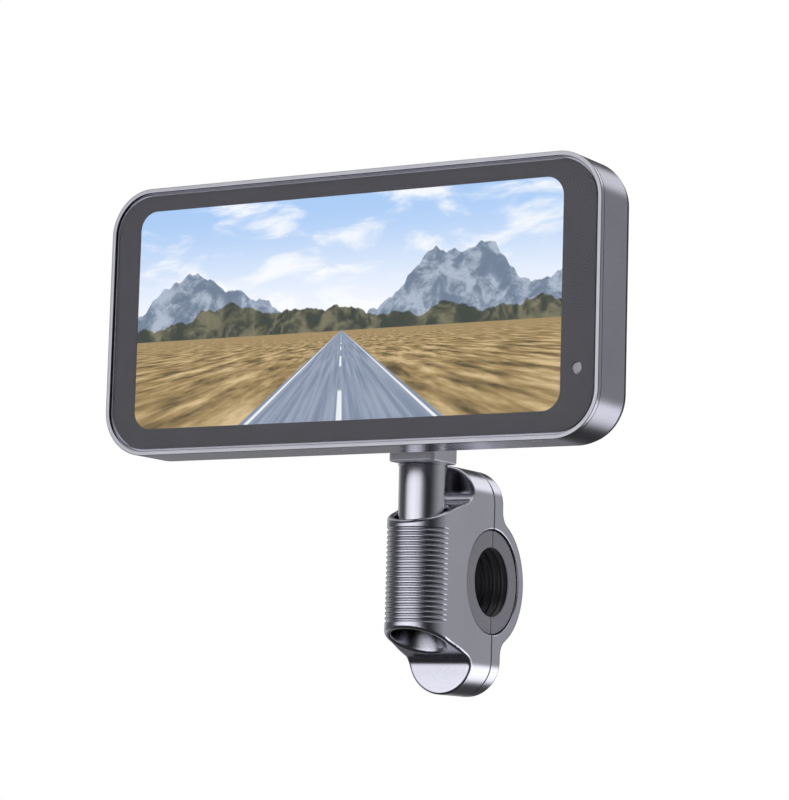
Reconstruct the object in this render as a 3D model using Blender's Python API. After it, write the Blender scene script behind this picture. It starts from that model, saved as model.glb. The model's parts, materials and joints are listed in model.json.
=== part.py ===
"""Handlebar dash camera: a wide display unit with a road lens in its back, a tilting
bracket, a tapered swivel stem and a two-piece clamp for a 22 mm handlebar.

The origin is the centre of the handlebar hole. +X runs to the driver's right, along the
bar; +Y points down the road, away from the driver; +Z is up. Sizes below are in mm.
"""
import math

import bmesh
import bpy
from mathutils import Matrix, Vector

MM = 0.001
WELD = 0.000002                # metres, for points that a turned shape closes on
GAP = 0.3                      # clearance between pieces that rest on each other

# Display unit. Depths are measured backwards from the front face.
CASING_WIDTH = 166.4
CASING_HEIGHT = 81.4
CASING_DEPTH = 19.1
CASING_CORNER = 14.0
CASING_WALL = 2.2
FRONT_Y = -74.6
DISPLAY_Z = 74.05
RIM_BAND = 1.35
RIM_DEPTH = 1.9
GLASS_INSET = 1.95
GLASS_FRONT = 0.1
GLASS_THICKNESS = 1.0
MASK_FRONT = 1.4
MASK_THICKNESS = 0.3
SCREEN_SIZE = (144.2, 66.4)
SCREEN_OFFSET = (-1.4, 0.6)
SCREEN_CORNER = 5.7
SENSOR_AT = (75.9, -20.9)
SENSOR_RADIUS = 1.4
PANEL_SIZE = (149.5, 68.6)
PANEL_FRONT = 2.0
PANEL_THICKNESS = 2.2
BACKLIGHT_THICKNESS = 1.7
BOARD_SIZE = (126.0, 60.0)
BOARD_FRONT = 6.8
BOARD_THICKNESS = 1.2
LEDGE_BACK = 3.6
COVER_THICKNESS = 1.3
COVER_FRONT = CASING_DEPTH - COVER_THICKNESS
BOARD_BACK = BOARD_FRONT + BOARD_THICKNESS

# Case posts and the small screws that hold the rear cover on them.
POST_RADIUS = 3.2
POST_INSET = 4.8
POST_FRONT = 7.2
MIDDLE_POST_X = 16.0
CASE_SCREW = {"shank": 1.0, "hole": 1.3, "head": 2.0, "bore": 2.3, "tip": 12.0}

# Road lens, above the bracket.
LENS_Z = DISPLAY_Z + 24.0
LENS_RADIUS = 9.2
LENS_BACK = 24.6

# Things that sit behind or in the rear cover, as (x, height above the display's centre).
SPEAKER_AT = (-45.0, -20.0)
SPEAKER_RADIUS = 10.0
MICROPHONE_AT = (62.0, -20.0)
HEAT_SINK_AT = (45.0, -6.0)
ANTENNA_AT = (38.0, 21.0)
BATTERY_AT = (-38.0, 10.0)

# Port bay in the left-hand side, under a rubber flap that swings on its rear edge.
BAY_HEIGHT = 32.0
BAY_Z = DISPLAY_Z - 5.0
BAY_FRONT = 5.2
BAY_BACK = 14.2
BAY_DEPTH = 1.6
USB_Z = BAY_Z + 7.5
CARD_Z = BAY_Z - 7.0

# Two push buttons in the top edge.
BUTTON_X = {"power_button": -46.0, "record_button": -28.0}
BUTTON_SIZE = (12.0, 5.0)
BUTTON_DEPTH = 10.0
BUTTON_RISE = 0.8
BUTTON_TRAVEL = 0.6
COLLAR_THICKNESS = 1.0

# Tilt joint, in line with the stem.
STEM_Y = -25.8
TILT_Z = 56.0
EYE_RADIUS = 6.5
LUG_HALF = 4.0
EAR_INNER = 5.4
EAR_OUTER = 8.9
BRACKET_PLATE = (42.0, 34.0, 3.0)
BRACKET_SCREWS = (14.0, 11.0)
TILT_PIN = 2.4
TILT_HOLE = 2.7

# Stem: square block, tapered neck, spigot in two bushes.
BLOCK_SIDE = 15.6
BLOCK_CHAMFER = 1.1
BLOCK_TOP = 44.0
BLOCK_BOTTOM = 34.1
NECK_TOP = (7.45, 33.2)
NECK_MOUTH = (7.1, 16.2)
SHOULDER_Z = 8.8
SPIGOT_RADIUS = 5.2
SPIGOT_END = -9.3

# Clamp.
HALF_WIDTH = 11.0
BAR_RADIUS = 10.5
GRIP_RADIUS = 15.9
SEAT_RADIUS = 16.2
GRIP_HALF_WIDTH = 10.5
RIB_RADIUS = 16.6
RIB_HALF_WIDTH = 3.0
BULGE_RADIUS = 20.0
CLAMP_TOP = 34.9
PLATE_FRONT = -12.5
FLANGE_BACK = 6.0
PARTING = 0.15
BARREL_RADIUS = 10.3
BARREL_TOP = 15.8
SLOPE_END = (-15.5, 23.3)
BARREL_BORE = 8.1
BORE_LAND = 6.5
LAND_HALF = 0.7
GROOVE_COUNT = 19
GROOVE_SPAN = 27.4
GROOVE_DEPTH = 0.4
BARREL_STEPS = 16
CLAMP_SCREW_Z = 28.0
CLAMP_SCREW = {"shank": 2.4, "hole": 2.7, "head": 4.2, "bore": 4.6, "seat": 4.2, "tip": -9.0}

# Finishes: colour, roughness, metallic.
GUNMETAL = ((0.20, 0.20, 0.22), 0.28, 1.0)
DARK_METAL = ((0.10, 0.10, 0.11), 0.38, 1.0)
BRIGHT_RIM = ((0.66, 0.66, 0.70), 0.15, 1.0)
STEEL = ((0.45, 0.45, 0.46), 0.30, 1.0)
BLACK_STEEL = ((0.05, 0.05, 0.055), 0.35, 1.0)
BLACK_PLASTIC = ((0.03, 0.03, 0.032), 0.55, 0.0)
DARK_GLASS = ((0.06, 0.06, 0.065), 0.05, 0.0)
RUBBER = ((0.11, 0.11, 0.115), 0.70, 0.0)
BOARD_GREEN = ((0.03, 0.16, 0.09), 0.50, 0.0)
SCREEN_BLUE = ((0.25, 0.40, 0.60), 0.20, 0.0)
WHITE_NYLON = ((0.75, 0.74, 0.70), 0.45, 0.0)
LENS_TINT = ((0.02, 0.03, 0.06), 0.03, 0.0)
SENSOR_GREY = ((0.30, 0.28, 0.33), 0.35, 0.0)


# ---------------------------------------------------------------- outlines

def arc(centre, radius, start, end, steps):
    """Points along an arc, from the start angle to the end angle in degrees."""
    points = []
    for i in range(steps + 1):
        angle = math.radians(start + (end - start) * i / steps)
        points.append((centre[0] + radius * math.cos(angle), centre[1] + radius * math.sin(angle)))
    return points


def rounded_rectangle(centre, width, height, radius, steps=8):
    """Outline of a rectangle with round corners, anticlockwise."""
    dx = width / 2 - radius
    dy = height / 2 - radius
    points = []
    for quarter, (sx, sy) in enumerate(((1, 1), (-1, 1), (-1, -1), (1, -1))):
        corner = (centre[0] + sx * dx, centre[1] + sy * dy)
        points += arc(corner, radius, quarter * 90, quarter * 90 + 90, steps)
    return points


def rectangle(centre, width, height):
    """Outline of a plain rectangle."""
    x, y = centre
    half_w, half_h = width / 2, height / 2
    lower = [(x - half_w, y - half_h), (x + half_w, y - half_h)]
    return lower + [(x + half_w, y + half_h), (x - half_w, y + half_h)]


def mirrored(points):
    """An outline that is the given points and their reflection in the first axis."""
    return points + [(a, -b) for a, b in reversed(points)]


# ---------------------------------------------------------------- solids

def new_object(name, mesh):
    """Put a bmesh into the scene as an object, with its faces turned outwards."""
    bmesh.ops.recalc_face_normals(mesh, faces=mesh.faces)
    data = bpy.data.meshes.new(name)
    mesh.to_mesh(data)
    mesh.free()
    obj = bpy.data.objects.new(name, data)
    bpy.context.collection.objects.link(obj)
    return obj


def on_axis(axis, along, a, b):
    """A point at (a, b) across an axis and 'along' it: X takes (y, z), Y (x, z), Z (x, y)."""
    if axis == "X":
        return Vector((along, a, b)) * MM
    if axis == "Y":
        return Vector((a, along, b)) * MM
    return Vector((a, b, along)) * MM


def add_prism(mesh, outline, axis, low, high):
    """Add a closed prism over an outline to a bmesh."""
    ends = []
    for along in (low, high):
        ends.append([mesh.verts.new(on_axis(axis, along, a, b)) for a, b in outline])
    mesh.faces.new(ends[0])
    mesh.faces.new(ends[1])
    count = len(outline)
    for i in range(count):
        j = (i + 1) % count
        mesh.faces.new((ends[0][i], ends[0][j], ends[1][j], ends[1][i]))


def prism(name, outline, axis, low, high):
    """A closed prism over an outline."""
    mesh = bmesh.new()
    add_prism(mesh, outline, axis, low, high)
    return new_object(name, mesh)


def prisms(name, pieces):
    """Separate prisms in one object; each piece is (outline, axis, low, high)."""
    mesh = bmesh.new()
    for outline, axis, low, high in pieces:
        add_prism(mesh, outline, axis, low, high)
    return new_object(name, mesh)


def turned(name, profile, axis, centre, segments=32, sweep=360, start=0, hollow=True):
    """Spin a profile of (radius, along) points about an axis through the centre.

    A hollow profile is a closed loop; a full one starts and ends on the axis.
    """
    mesh = bmesh.new()
    offset = on_axis(axis, 0.0, centre[0], centre[1])
    turn_axis = on_axis(axis, 1.0, 0.0, 0.0).normalized()
    base = Matrix.Rotation(math.radians(start), 4, turn_axis)
    verts = [mesh.verts.new(base @ on_axis(axis, along, radius, 0.0) + offset) for radius, along in profile]
    edges = [mesh.edges.new((verts[i], verts[i + 1])) for i in range(len(verts) - 1)]
    if hollow:
        edges.append(mesh.edges.new((verts[-1], verts[0])))
    part_turn = sweep < 360
    caps = [mesh.faces.new(verts)] if part_turn else []
    bmesh.ops.spin(mesh, geom=verts + edges + caps, cent=offset, axis=turn_axis,
                   angle=math.radians(sweep), steps=segments, use_duplicate=False)
    if part_turn:
        mesh.faces.new([mesh.verts.new(vert.co) for vert in verts])
    bmesh.ops.remove_doubles(mesh, verts=mesh.verts, dist=WELD)
    return new_object(name, mesh)


def cylinder(name, axis, centre, radius, low, high, segments=32):
    """A plain cylinder."""
    return prism(name, arc(centre, radius, 0, 360 - 360 / segments, segments - 1), axis, low, high)


def circle(centre, radius, segments=24):
    """Outline of a circle."""
    return arc(centre, radius, 0, 360 - 360 / segments, segments - 1)


def boolean(obj, tool, operation="DIFFERENCE"):
    """Cut, join or intersect an object with a tool that stays out of the build."""
    tool.hide_render = True
    tool.display_type = "WIRE"
    modifier = obj.modifiers.new(tool.name, "BOOLEAN")
    modifier.operation = operation
    modifier.solver = "EXACT"
    modifier.object = tool
    return obj


def finish(obj, look, parent, round_piece=False):
    """Give an object its own material, its shading and its place in the assembly."""
    colour, roughness, metallic = look
    material = bpy.data.materials.new(obj.name)
    material.use_nodes = True
    shader = material.node_tree.nodes["Principled BSDF"]
    shader.inputs["Base Color"].default_value = (*colour, 1.0)
    shader.inputs["Roughness"].default_value = roughness
    shader.inputs["Metallic"].default_value = metallic
    obj.data.materials.append(material)
    if round_piece:
        obj.data.shade_smooth()
        obj.data.set_sharp_from_angle(angle=math.radians(30))
    obj.parent = parent
    obj.matrix_parent_inverse = Matrix.Translation(-joint_place(parent))
    return obj


def joint_place(empty):
    """World position of an empty, whose parents are only moved, never turned."""
    place = empty.location.copy()
    while empty.parent:
        empty = empty.parent
        place += empty.location
    return place


def joint_empty(name, place, parent=None):
    """An empty on a joint's axis; the pieces that move are its children."""
    empty = bpy.data.objects.new(name, None)
    empty.empty_display_size = 0.01
    empty.location = Vector(place) * MM
    if parent:
        empty.parent = parent
        empty.location -= joint_place(parent)
    bpy.context.collection.objects.link(empty)
    return empty


def deep(depth):
    """World Y of a depth behind the display's front face."""
    return FRONT_Y + depth


def casing_outline(inset, steps=7):
    """The casing's outline from the front, drawn in by an inset."""
    centre = (0.0, DISPLAY_Z)
    return rounded_rectangle(centre, CASING_WIDTH - 2 * inset, CASING_HEIGHT - 2 * inset,
                             CASING_CORNER - inset, steps)


def above_centre(point):
    """World (x, z) of a point given from the display's centre."""
    return (point[0], DISPLAY_Z + point[1])


# ---------------------------------------------------------------- display unit

def casing_posts():
    """Centres of the six posts that the rear cover screws into."""
    reach = CASING_CORNER - POST_INSET
    corner = reach * math.sqrt(0.5)
    x = CASING_WIDTH / 2 - CASING_CORNER + corner
    z = CASING_HEIGHT / 2 - CASING_CORNER + corner
    middle = CASING_HEIGHT / 2 - POST_INSET
    offsets = [(x, z), (-x, z), (-x, -z), (x, -z), (MIDDLE_POST_X, middle), (-MIDDLE_POST_X, -middle)]
    return [above_centre(offset) for offset in offsets]


def port_bay_pieces():
    """The flap's recess and the holes for the socket and the card, as prisms along X."""
    side = -CASING_WIDTH / 2
    middle_y = deep((BAY_FRONT + BAY_BACK) / 2)
    bay = rounded_rectangle((middle_y, BAY_Z), BAY_BACK - BAY_FRONT, BAY_HEIGHT, 1.2, 3)
    usb = rounded_rectangle((deep(BOARD_BACK + 1.95), USB_Z), 3.9, 9.8, 1.6, 4)
    card = rectangle((deep(BOARD_BACK + 1.3), CARD_Z), 1.8, 12.2)
    return (
        (bay, "X", side - 2.0, side + BAY_DEPTH),
        (usb, "X", side + 1.0, side + 4.0),
        (card, "X", side + 1.0, side + 4.0),
    )


def build_casing(display):
    """Machined frame with a front ledge, posts, a port bay and button holes."""
    frame = prism("casing_frame", casing_outline(0.0), "Y", deep(RIM_DEPTH + GAP), deep(COVER_FRONT - GAP))
    boolean(frame, prism("casing_pocket", casing_outline(CASING_WALL), "Y", deep(LEDGE_BACK), deep(30)))
    window = rectangle(above_centre(SCREEN_OFFSET), PANEL_SIZE[0] + 2 * GAP, PANEL_SIZE[1] + 2 * GAP)
    boolean(frame, prism("casing_window", window, "Y", deep(1), deep(LEDGE_BACK + 1)))
    ends = (deep(POST_FRONT), deep(COVER_FRONT - 2 * GAP))
    posts = [(circle(at, POST_RADIUS, 16), "Y", *ends) for at in casing_posts()]
    boolean(frame, prisms("casing_posts", posts), "UNION")
    ends = (deep(CASE_SCREW["tip"] - 1), deep(30))
    holes = [(circle(at, CASE_SCREW["hole"], 8), "Y", *ends) for at in casing_posts()]
    boolean(frame, prisms("casing_post_holes", holes))
    for index, (outline, axis, low, high) in enumerate(port_bay_pieces()):
        boolean(frame, prism(f"casing_port_cut_{index}", outline, axis, low, high))
    top = DISPLAY_Z + CASING_HEIGHT / 2
    slots = []
    for x in BUTTON_X.values():
        centre = (x, deep(BUTTON_DEPTH))
        outline = rounded_rectangle(centre, BUTTON_SIZE[0] + 2 * GAP, BUTTON_SIZE[1] + 2 * GAP,
                                    BUTTON_SIZE[1] / 2 + GAP - 0.01, 4)
        slots.append((outline, "Z", top - CASING_WALL - 1, top + 1))
    boolean(frame, prisms("casing_button_slots", slots))
    finish(frame, GUNMETAL, display)

    rim = prism("front_rim", casing_outline(0.0), "Y", deep(0), deep(RIM_DEPTH))
    boolean(rim, prism("front_rim_hole", casing_outline(RIM_BAND), "Y", deep(-1), deep(RIM_DEPTH + 1)))
    finish(rim, BRIGHT_RIM, display)


def build_front(display):
    """Cover glass, printed bezel, light sensor, display panel and its backlight."""
    glass = prism("cover_glass", casing_outline(GLASS_INSET), "Y",
                  deep(GLASS_FRONT), deep(GLASS_FRONT + GLASS_THICKNESS))
    finish(glass, DARK_GLASS, display)

    mask_back = MASK_FRONT + MASK_THICKNESS
    screen = rounded_rectangle(above_centre(SCREEN_OFFSET), *SCREEN_SIZE, SCREEN_CORNER, 6)
    mask = prism("bezel_mask", casing_outline(GLASS_INSET + 0.2), "Y", deep(MASK_FRONT), deep(mask_back))
    boolean(mask, prism("bezel_mask_window", screen, "Y", deep(0), deep(4)))
    sensor_place = above_centre(SENSOR_AT)
    boolean(mask, cylinder("bezel_mask_eye", "Y", sensor_place, SENSOR_RADIUS + GAP, deep(0), deep(4), 16))
    finish(mask, BLACK_PLASTIC, display)

    ends = (deep(MASK_FRONT), deep(mask_back))
    sensor = cylinder("light_sensor", "Y", sensor_place, SENSOR_RADIUS, *ends, 20)
    finish(sensor, SENSOR_GREY, display, True)

    panel = prism("screen_panel", rectangle(above_centre(SCREEN_OFFSET), *PANEL_SIZE), "Y",
                  deep(PANEL_FRONT), deep(PANEL_FRONT + PANEL_THICKNESS))
    finish(panel, SCREEN_BLUE, display)
    light_front = PANEL_FRONT + PANEL_THICKNESS + GAP
    backlight = prism("backlight_tray", rectangle(above_centre(SCREEN_OFFSET), *PANEL_SIZE), "Y",
                      deep(light_front), deep(light_front + BACKLIGHT_THICKNESS))
    finish(backlight, STEEL, display)


def box_at(name, place, size, front, back):
    """A block behind the display, centred at a place given from the display's centre."""
    return prism(name, rectangle(above_centre(place), *size), "Y", deep(front), deep(back))


def build_electronics(display):
    """Main board and what is soldered or fixed to it."""
    board = box_at("main_board", (0.0, 0.0), BOARD_SIZE, BOARD_FRONT, BOARD_BACK)
    finish(board, BOARD_GREEN, display)
    front = BOARD_BACK + GAP
    finish(box_at("processor_shield", HEAT_SINK_AT, (30.0, 26.0), front, front + 2.2), STEEL, display)
    finish(box_at("battery_pack", BATTERY_AT, (36.0, 24.0), front, front + 6.0), BLACK_PLASTIC, display)
    finish(box_at("gps_antenna", ANTENNA_AT, (18.0, 18.0), front, front + 4.0), WHITE_NYLON, display)
    image_sensor = box_at("image_sensor", (0.0, LENS_Z - DISPLAY_Z), (11.0, 9.0), front, front + 1.0)
    finish(image_sensor, BLACK_PLASTIC, display)

    base = front + 2.2 + GAP
    sink = box_at("heat_sink", HEAT_SINK_AT, (30.0, 26.0), base, COVER_FRONT - GAP)
    x, z = above_centre(HEAT_SINK_AT)
    pitch = 3.6
    places = [(x + step * pitch, z) for step in (-3, -2, -1, 0, 1, 2, 3)]
    slots = [(rectangle(place, 1.8, 30.0), "Y", deep(base + 1.6), deep(30)) for place in places]
    boolean(sink, prisms("heat_sink_slots", slots))
    finish(sink, DARK_METAL, display)

    back = deep(COVER_FRONT - GAP)
    speaker = cylinder("speaker", "Y", above_centre(SPEAKER_AT), SPEAKER_RADIUS, deep(12.9), back, 28)
    finish(speaker, BLACK_PLASTIC, display, True)
    microphone = cylinder("microphone", "Y", above_centre(MICROPHONE_AT), 2.0, deep(15.0), back, 16)
    finish(microphone, STEEL, display, True)

    top = DISPLAY_Z + CASING_HEIGHT / 2 - CASING_WALL - GAP - COLLAR_THICKNESS - BUTTON_TRAVEL - 0.2
    for name, x in BUTTON_X.items():
        base = rectangle((x, deep(BUTTON_DEPTH)), 5.0, 3.4)
        switch = prism(name.replace("button", "switch"), base, "Z", top - 2.2, top)
        finish(switch, STEEL, display)


def build_ports(display, flap_axis):
    """USB socket, card socket with its card, and the rubber flap that covers both."""
    side = -CASING_WIDTH / 2
    socket_face = side + CASING_WALL + GAP
    usb_y = deep(BOARD_BACK + GAP + 1.65)
    outline = rounded_rectangle((usb_y, USB_Z), 3.3, 9.1, 1.4, 4)
    usb = prism("usb_socket", outline, "X", socket_face, socket_face + 7.5)
    boolean(usb, prism("usb_cavity", rounded_rectangle((usb_y, USB_Z), 2.6, 8.4, 1.2, 4), "X",
                       socket_face - 1, socket_face + 6.7))
    tongue = rectangle((usb_y, USB_Z), 0.7, 6.6)
    boolean(usb, prism("usb_tongue", tongue, "X", socket_face + 1, socket_face + 7), "UNION")
    finish(usb, STEEL, display)

    card_y = deep(BOARD_BACK + GAP + 1.0)
    outline = rectangle((card_y, CARD_Z), 2.0, 14.0)
    card_socket = prism("card_socket", outline, "X", socket_face, socket_face + 14.5)
    slot = rectangle((card_y, CARD_Z), 1.3, 11.8)
    boolean(card_socket, prism("card_slot", slot, "X", socket_face - 1, socket_face + 13.5))
    finish(card_socket, STEEL, display)
    outline = rectangle((card_y, CARD_Z), 0.7, 11.0)
    card = prism("memory_card", outline, "X", socket_face - 0.8, socket_face + 13.0)
    finish(card, BLACK_PLASTIC, display)

    middle_y = deep((BAY_FRONT + BAY_BACK) / 2)
    flap_width = BAY_BACK - BAY_FRONT - 2 * GAP
    flap_outline = rounded_rectangle((middle_y, BAY_Z), flap_width, BAY_HEIGHT - 2 * GAP, 0.9, 3)
    flap = prism("port_flap", flap_outline, "X", side, side + BAY_DEPTH - GAP)
    finger = cylinder("port_flap_notch", "X", (deep(BAY_FRONT + GAP), BAY_Z), 1.6, side - 1, side + 0.6, 16)
    boolean(flap, finger)
    finish(flap, RUBBER, flap_axis)


def build_buttons(button_axes):
    """Push buttons with a collar that keeps them inside the casing."""
    top = DISPLAY_Z + CASING_HEIGHT / 2
    collar_top = top - CASING_WALL - GAP
    for name, x in BUTTON_X.items():
        centre = (x, deep(BUTTON_DEPTH))
        cap = prism(name, rounded_rectangle(centre, *BUTTON_SIZE, BUTTON_SIZE[1] / 2 - 0.01, 5), "Z",
                    collar_top - 0.5, top + BUTTON_RISE)
        collar = prism(name + "_collar", rectangle(centre, BUTTON_SIZE[0] + 2.0, BUTTON_SIZE[1] + 1.6), "Z",
                       collar_top - COLLAR_THICKNESS, collar_top)
        boolean(cap, collar, "UNION")
        finish(cap, DARK_METAL, button_axes[name])


def build_rear_cover(display):
    """Rear cover with lens hole, speaker slots, cooling grooves and its six screws."""
    cover = prism("rear_cover", casing_outline(0.0), "Y", deep(COVER_FRONT), deep(CASING_DEPTH))
    weights = cover.data.attributes.new("bevel_weight_edge", "FLOAT", "EDGE")
    for edge in cover.data.edges:
        ends = [cover.data.vertices[index].co.y / MM for index in edge.vertices]
        if min(ends) > deep(CASING_DEPTH) - 0.01:
            weights.data[edge.index].value = 1.0
    bevel = cover.modifiers.new("rear_chamfer", "BEVEL")
    bevel.limit_method = "WEIGHT"
    bevel.width = 0.7 * MM
    bevel.segments = 1
    ends = (deep(15), deep(25))
    boolean(cover, cylinder("cover_lens_hole", "Y", (0.0, LENS_Z), LENS_RADIUS + GAP, *ends, 28))
    x, z = above_centre(SPEAKER_AT)
    rows = (-2, -1, 0, 1, 2)
    slots = [(rounded_rectangle((x, z + row * 3.0), 13.0, 1.2, 0.59, 2), "Y", *ends) for row in rows]
    slots.append((circle(above_centre(MICROPHONE_AT), 0.6, 12), "Y", deep(15), deep(25)))
    boolean(cover, prisms("cover_slots", slots))
    x, z = above_centre(HEAT_SINK_AT)
    floor = deep(CASING_DEPTH - 0.5)
    grooves = [(rectangle((x, z + row * 4.0), 34.0, 2.0), "Y", floor, deep(25)) for row in rows]
    boolean(cover, prisms("cover_grooves", grooves))
    holes = [(circle(at, CASE_SCREW["hole"], 8), "Y", deep(15), deep(25)) for at in casing_posts()]
    holes += [(circle(at, 1.9, 10), "Y", deep(15), deep(25)) for at in bracket_screw_places()]
    boolean(cover, prisms("cover_holes", holes))
    floor = deep(COVER_FRONT + 0.5)
    bores = [(circle(at, CASE_SCREW["bore"], 12), "Y", floor, deep(25)) for at in casing_posts()]
    boolean(cover, prisms("cover_screw_bores", bores))
    finish(cover, DARK_METAL, display)

    head = COVER_FRONT + 0.5 + GAP
    profile = [(0, deep(CASE_SCREW["tip"])), (CASE_SCREW["shank"], deep(CASE_SCREW["tip"])),
               (CASE_SCREW["shank"], deep(head)), (CASE_SCREW["head"], deep(head)),
               (CASE_SCREW["head"], deep(CASING_DEPTH - 0.1)), (0, deep(CASING_DEPTH - 0.1))]
    for number, at in enumerate(casing_posts(), 1):
        screw = turned(f"cover_screw_{number}", profile, "Y", at, 12, hollow=False)
        finish(screw, BLACK_STEEL, display, True)


def build_lens(display):
    """Road lens: housing with an inner flange, stop, two elements and a retaining ring."""
    centre = (0.0, LENS_Z)
    front = BOARD_BACK + GAP + 1.0 + GAP
    housing = turned("lens_housing", [
        (6.3, deep(front)), (LENS_RADIUS, deep(front)), (LENS_RADIUS, deep(15.6)), (11.4, deep(15.6)),
        (11.4, deep(COVER_FRONT - GAP)), (LENS_RADIUS, deep(COVER_FRONT - GAP)),
        (LENS_RADIUS, deep(LENS_BACK - 0.6)),
        (LENS_RADIUS - 0.6, deep(LENS_BACK)), (8.5, deep(LENS_BACK)), (8.5, deep(22.0)),
        (6.3, deep(22.0))], "Y", centre, 28)
    finish(housing, DARK_METAL, display, True)
    ring = turned("lens_ring", [
        (6.6, deep(22.3)), (8.2, deep(22.3)), (8.2, deep(LENS_BACK - 0.4)), (7.4, deep(LENS_BACK - 0.4)),
        (6.6, deep(23.4))], "Y", centre, 28)
    finish(ring, BRIGHT_RIM, display, True)
    dome = [(0, deep(19.0)), (6.0, deep(19.0)), (6.0, deep(20.8))]
    dome += [(6.0 * math.cos(t), deep(20.8 + 2.4 * math.sin(t))) for t in (0.35, 0.75, 1.15)]
    dome += [(0, deep(23.2))]
    finish(turned("front_lens", dome, "Y", centre, 20, hollow=False), LENS_TINT, display, True)
    profile = [(2.2, deep(16.6)), (6.0, deep(16.6)), (6.0, deep(18.7)), (4.0, deep(18.7))]
    stop = turned("lens_stop", profile, "Y", centre, 20)
    finish(stop, BLACK_PLASTIC, display, True)
    finish(cylinder("rear_lens", "Y", centre, 6.0, deep(13.0), deep(16.3), 20), LENS_TINT, display, True)


# ---------------------------------------------------------------- tilt joint

def bracket_screw_places():
    """Centres of the four screws through the bracket, as (x, z)."""
    dx, dz = BRACKET_SCREWS
    return [(sx * dx, TILT_Z + 2.0 + sz * dz) for sx in (-1, 1) for sz in (-1, 1)]


def build_bracket(display):
    """Clevis on the display's back, its screws and nut plate, and the tilt bolt."""
    width, height, thickness = BRACKET_PLATE
    plate_front = CASING_DEPTH + GAP
    plate_y = deep(plate_front)
    outline = rounded_rectangle((0.0, TILT_Z + 2.0), width, height, 4.0, 5)
    bracket = prism("tilt_bracket", outline, "Y", plate_y, plate_y + thickness)
    ear = [(plate_y + 1.0, TILT_Z + 14.0), (plate_y + 1.0, TILT_Z - 11.0),
           (plate_y + thickness + 1.5, TILT_Z - 11.0)]
    ear += arc((STEM_Y, TILT_Z), EYE_RADIUS, -100, 115, 12)
    ear += [(plate_y + thickness + 1.5, TILT_Z + 14.0)]
    ears = [(ear, "X", EAR_INNER, EAR_OUTER), (ear, "X", -EAR_OUTER, -EAR_INNER)]
    boolean(bracket, prisms("bracket_ears", ears), "UNION")
    boolean(bracket, cylinder("bracket_pin_hole", "X", (STEM_Y, TILT_Z), TILT_HOLE, -20, 20, 20))
    ends = (plate_y - 1, plate_y + thickness + 1)
    holes = [(circle(at, 1.9, 10), "Y", *ends) for at in bracket_screw_places()]
    boolean(bracket, prisms("bracket_screw_holes", holes))
    finish(bracket, DARK_METAL, display)

    head = plate_y + thickness + GAP
    profile = [(0, deep(15.2)), (1.5, deep(15.2)), (1.5, head), (2.8, head),
               (2.8, head + 1.2), (2.2, head + 1.8), (0, head + 1.8)]
    for number, at in enumerate(bracket_screw_places(), 1):
        screw = turned(f"bracket_screw_{number}", profile, "Y", at, 14, hollow=False)
        finish(screw, BLACK_STEEL, display, True)

    nut_plate = prism("nut_plate", rounded_rectangle((0.0, TILT_Z + 2.0), 38.0, 30.0, 2.0, 3), "Y",
                      deep(15.2), deep(COVER_FRONT - GAP))
    holes = [(circle(at, 1.9, 10), "Y", deep(14), deep(19)) for at in bracket_screw_places()]
    boolean(nut_plate, prisms("nut_plate_holes", holes))
    finish(nut_plate, STEEL, display)

    centre = (STEM_Y, TILT_Z)
    for side, name in ((-1, "friction_washer_left"), (1, "friction_washer_right")):
        low, high = sorted((side * (LUG_HALF + GAP), side * (EAR_INNER - GAP)))
        ring = [(TILT_HOLE, low), (EYE_RADIUS - 0.5, low), (EYE_RADIUS - 0.5, high), (TILT_HOLE, high)]
        finish(turned(name, ring, "X", centre, 20), WHITE_NYLON, display, True)

    head_x = EAR_OUTER + GAP
    profile = [(0, -14.0), (TILT_PIN - 0.5, -14.0), (TILT_PIN, -13.5), (TILT_PIN, head_x), (4.4, head_x),
               (4.4, head_x + 3.0), (3.8, head_x + 3.5), (0, head_x + 3.5)]
    bolt = turned("tilt_bolt", profile, "X", centre, 24, hollow=False)
    boolean(bolt, prism("tilt_bolt_socket", arc(centre, 2.0, 0, 300, 5), "X", head_x + 1.5, head_x + 5))
    finish(bolt, BLACK_STEEL, display, True)
    nut = prism("tilt_nut", arc(centre, 4.6, 0, 300, 5), "X", -head_x - 3.6, -head_x)
    boolean(nut, cylinder("tilt_nut_hole", "X", centre, TILT_HOLE, -20, -5, 20))
    finish(nut, STEEL, display)


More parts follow.
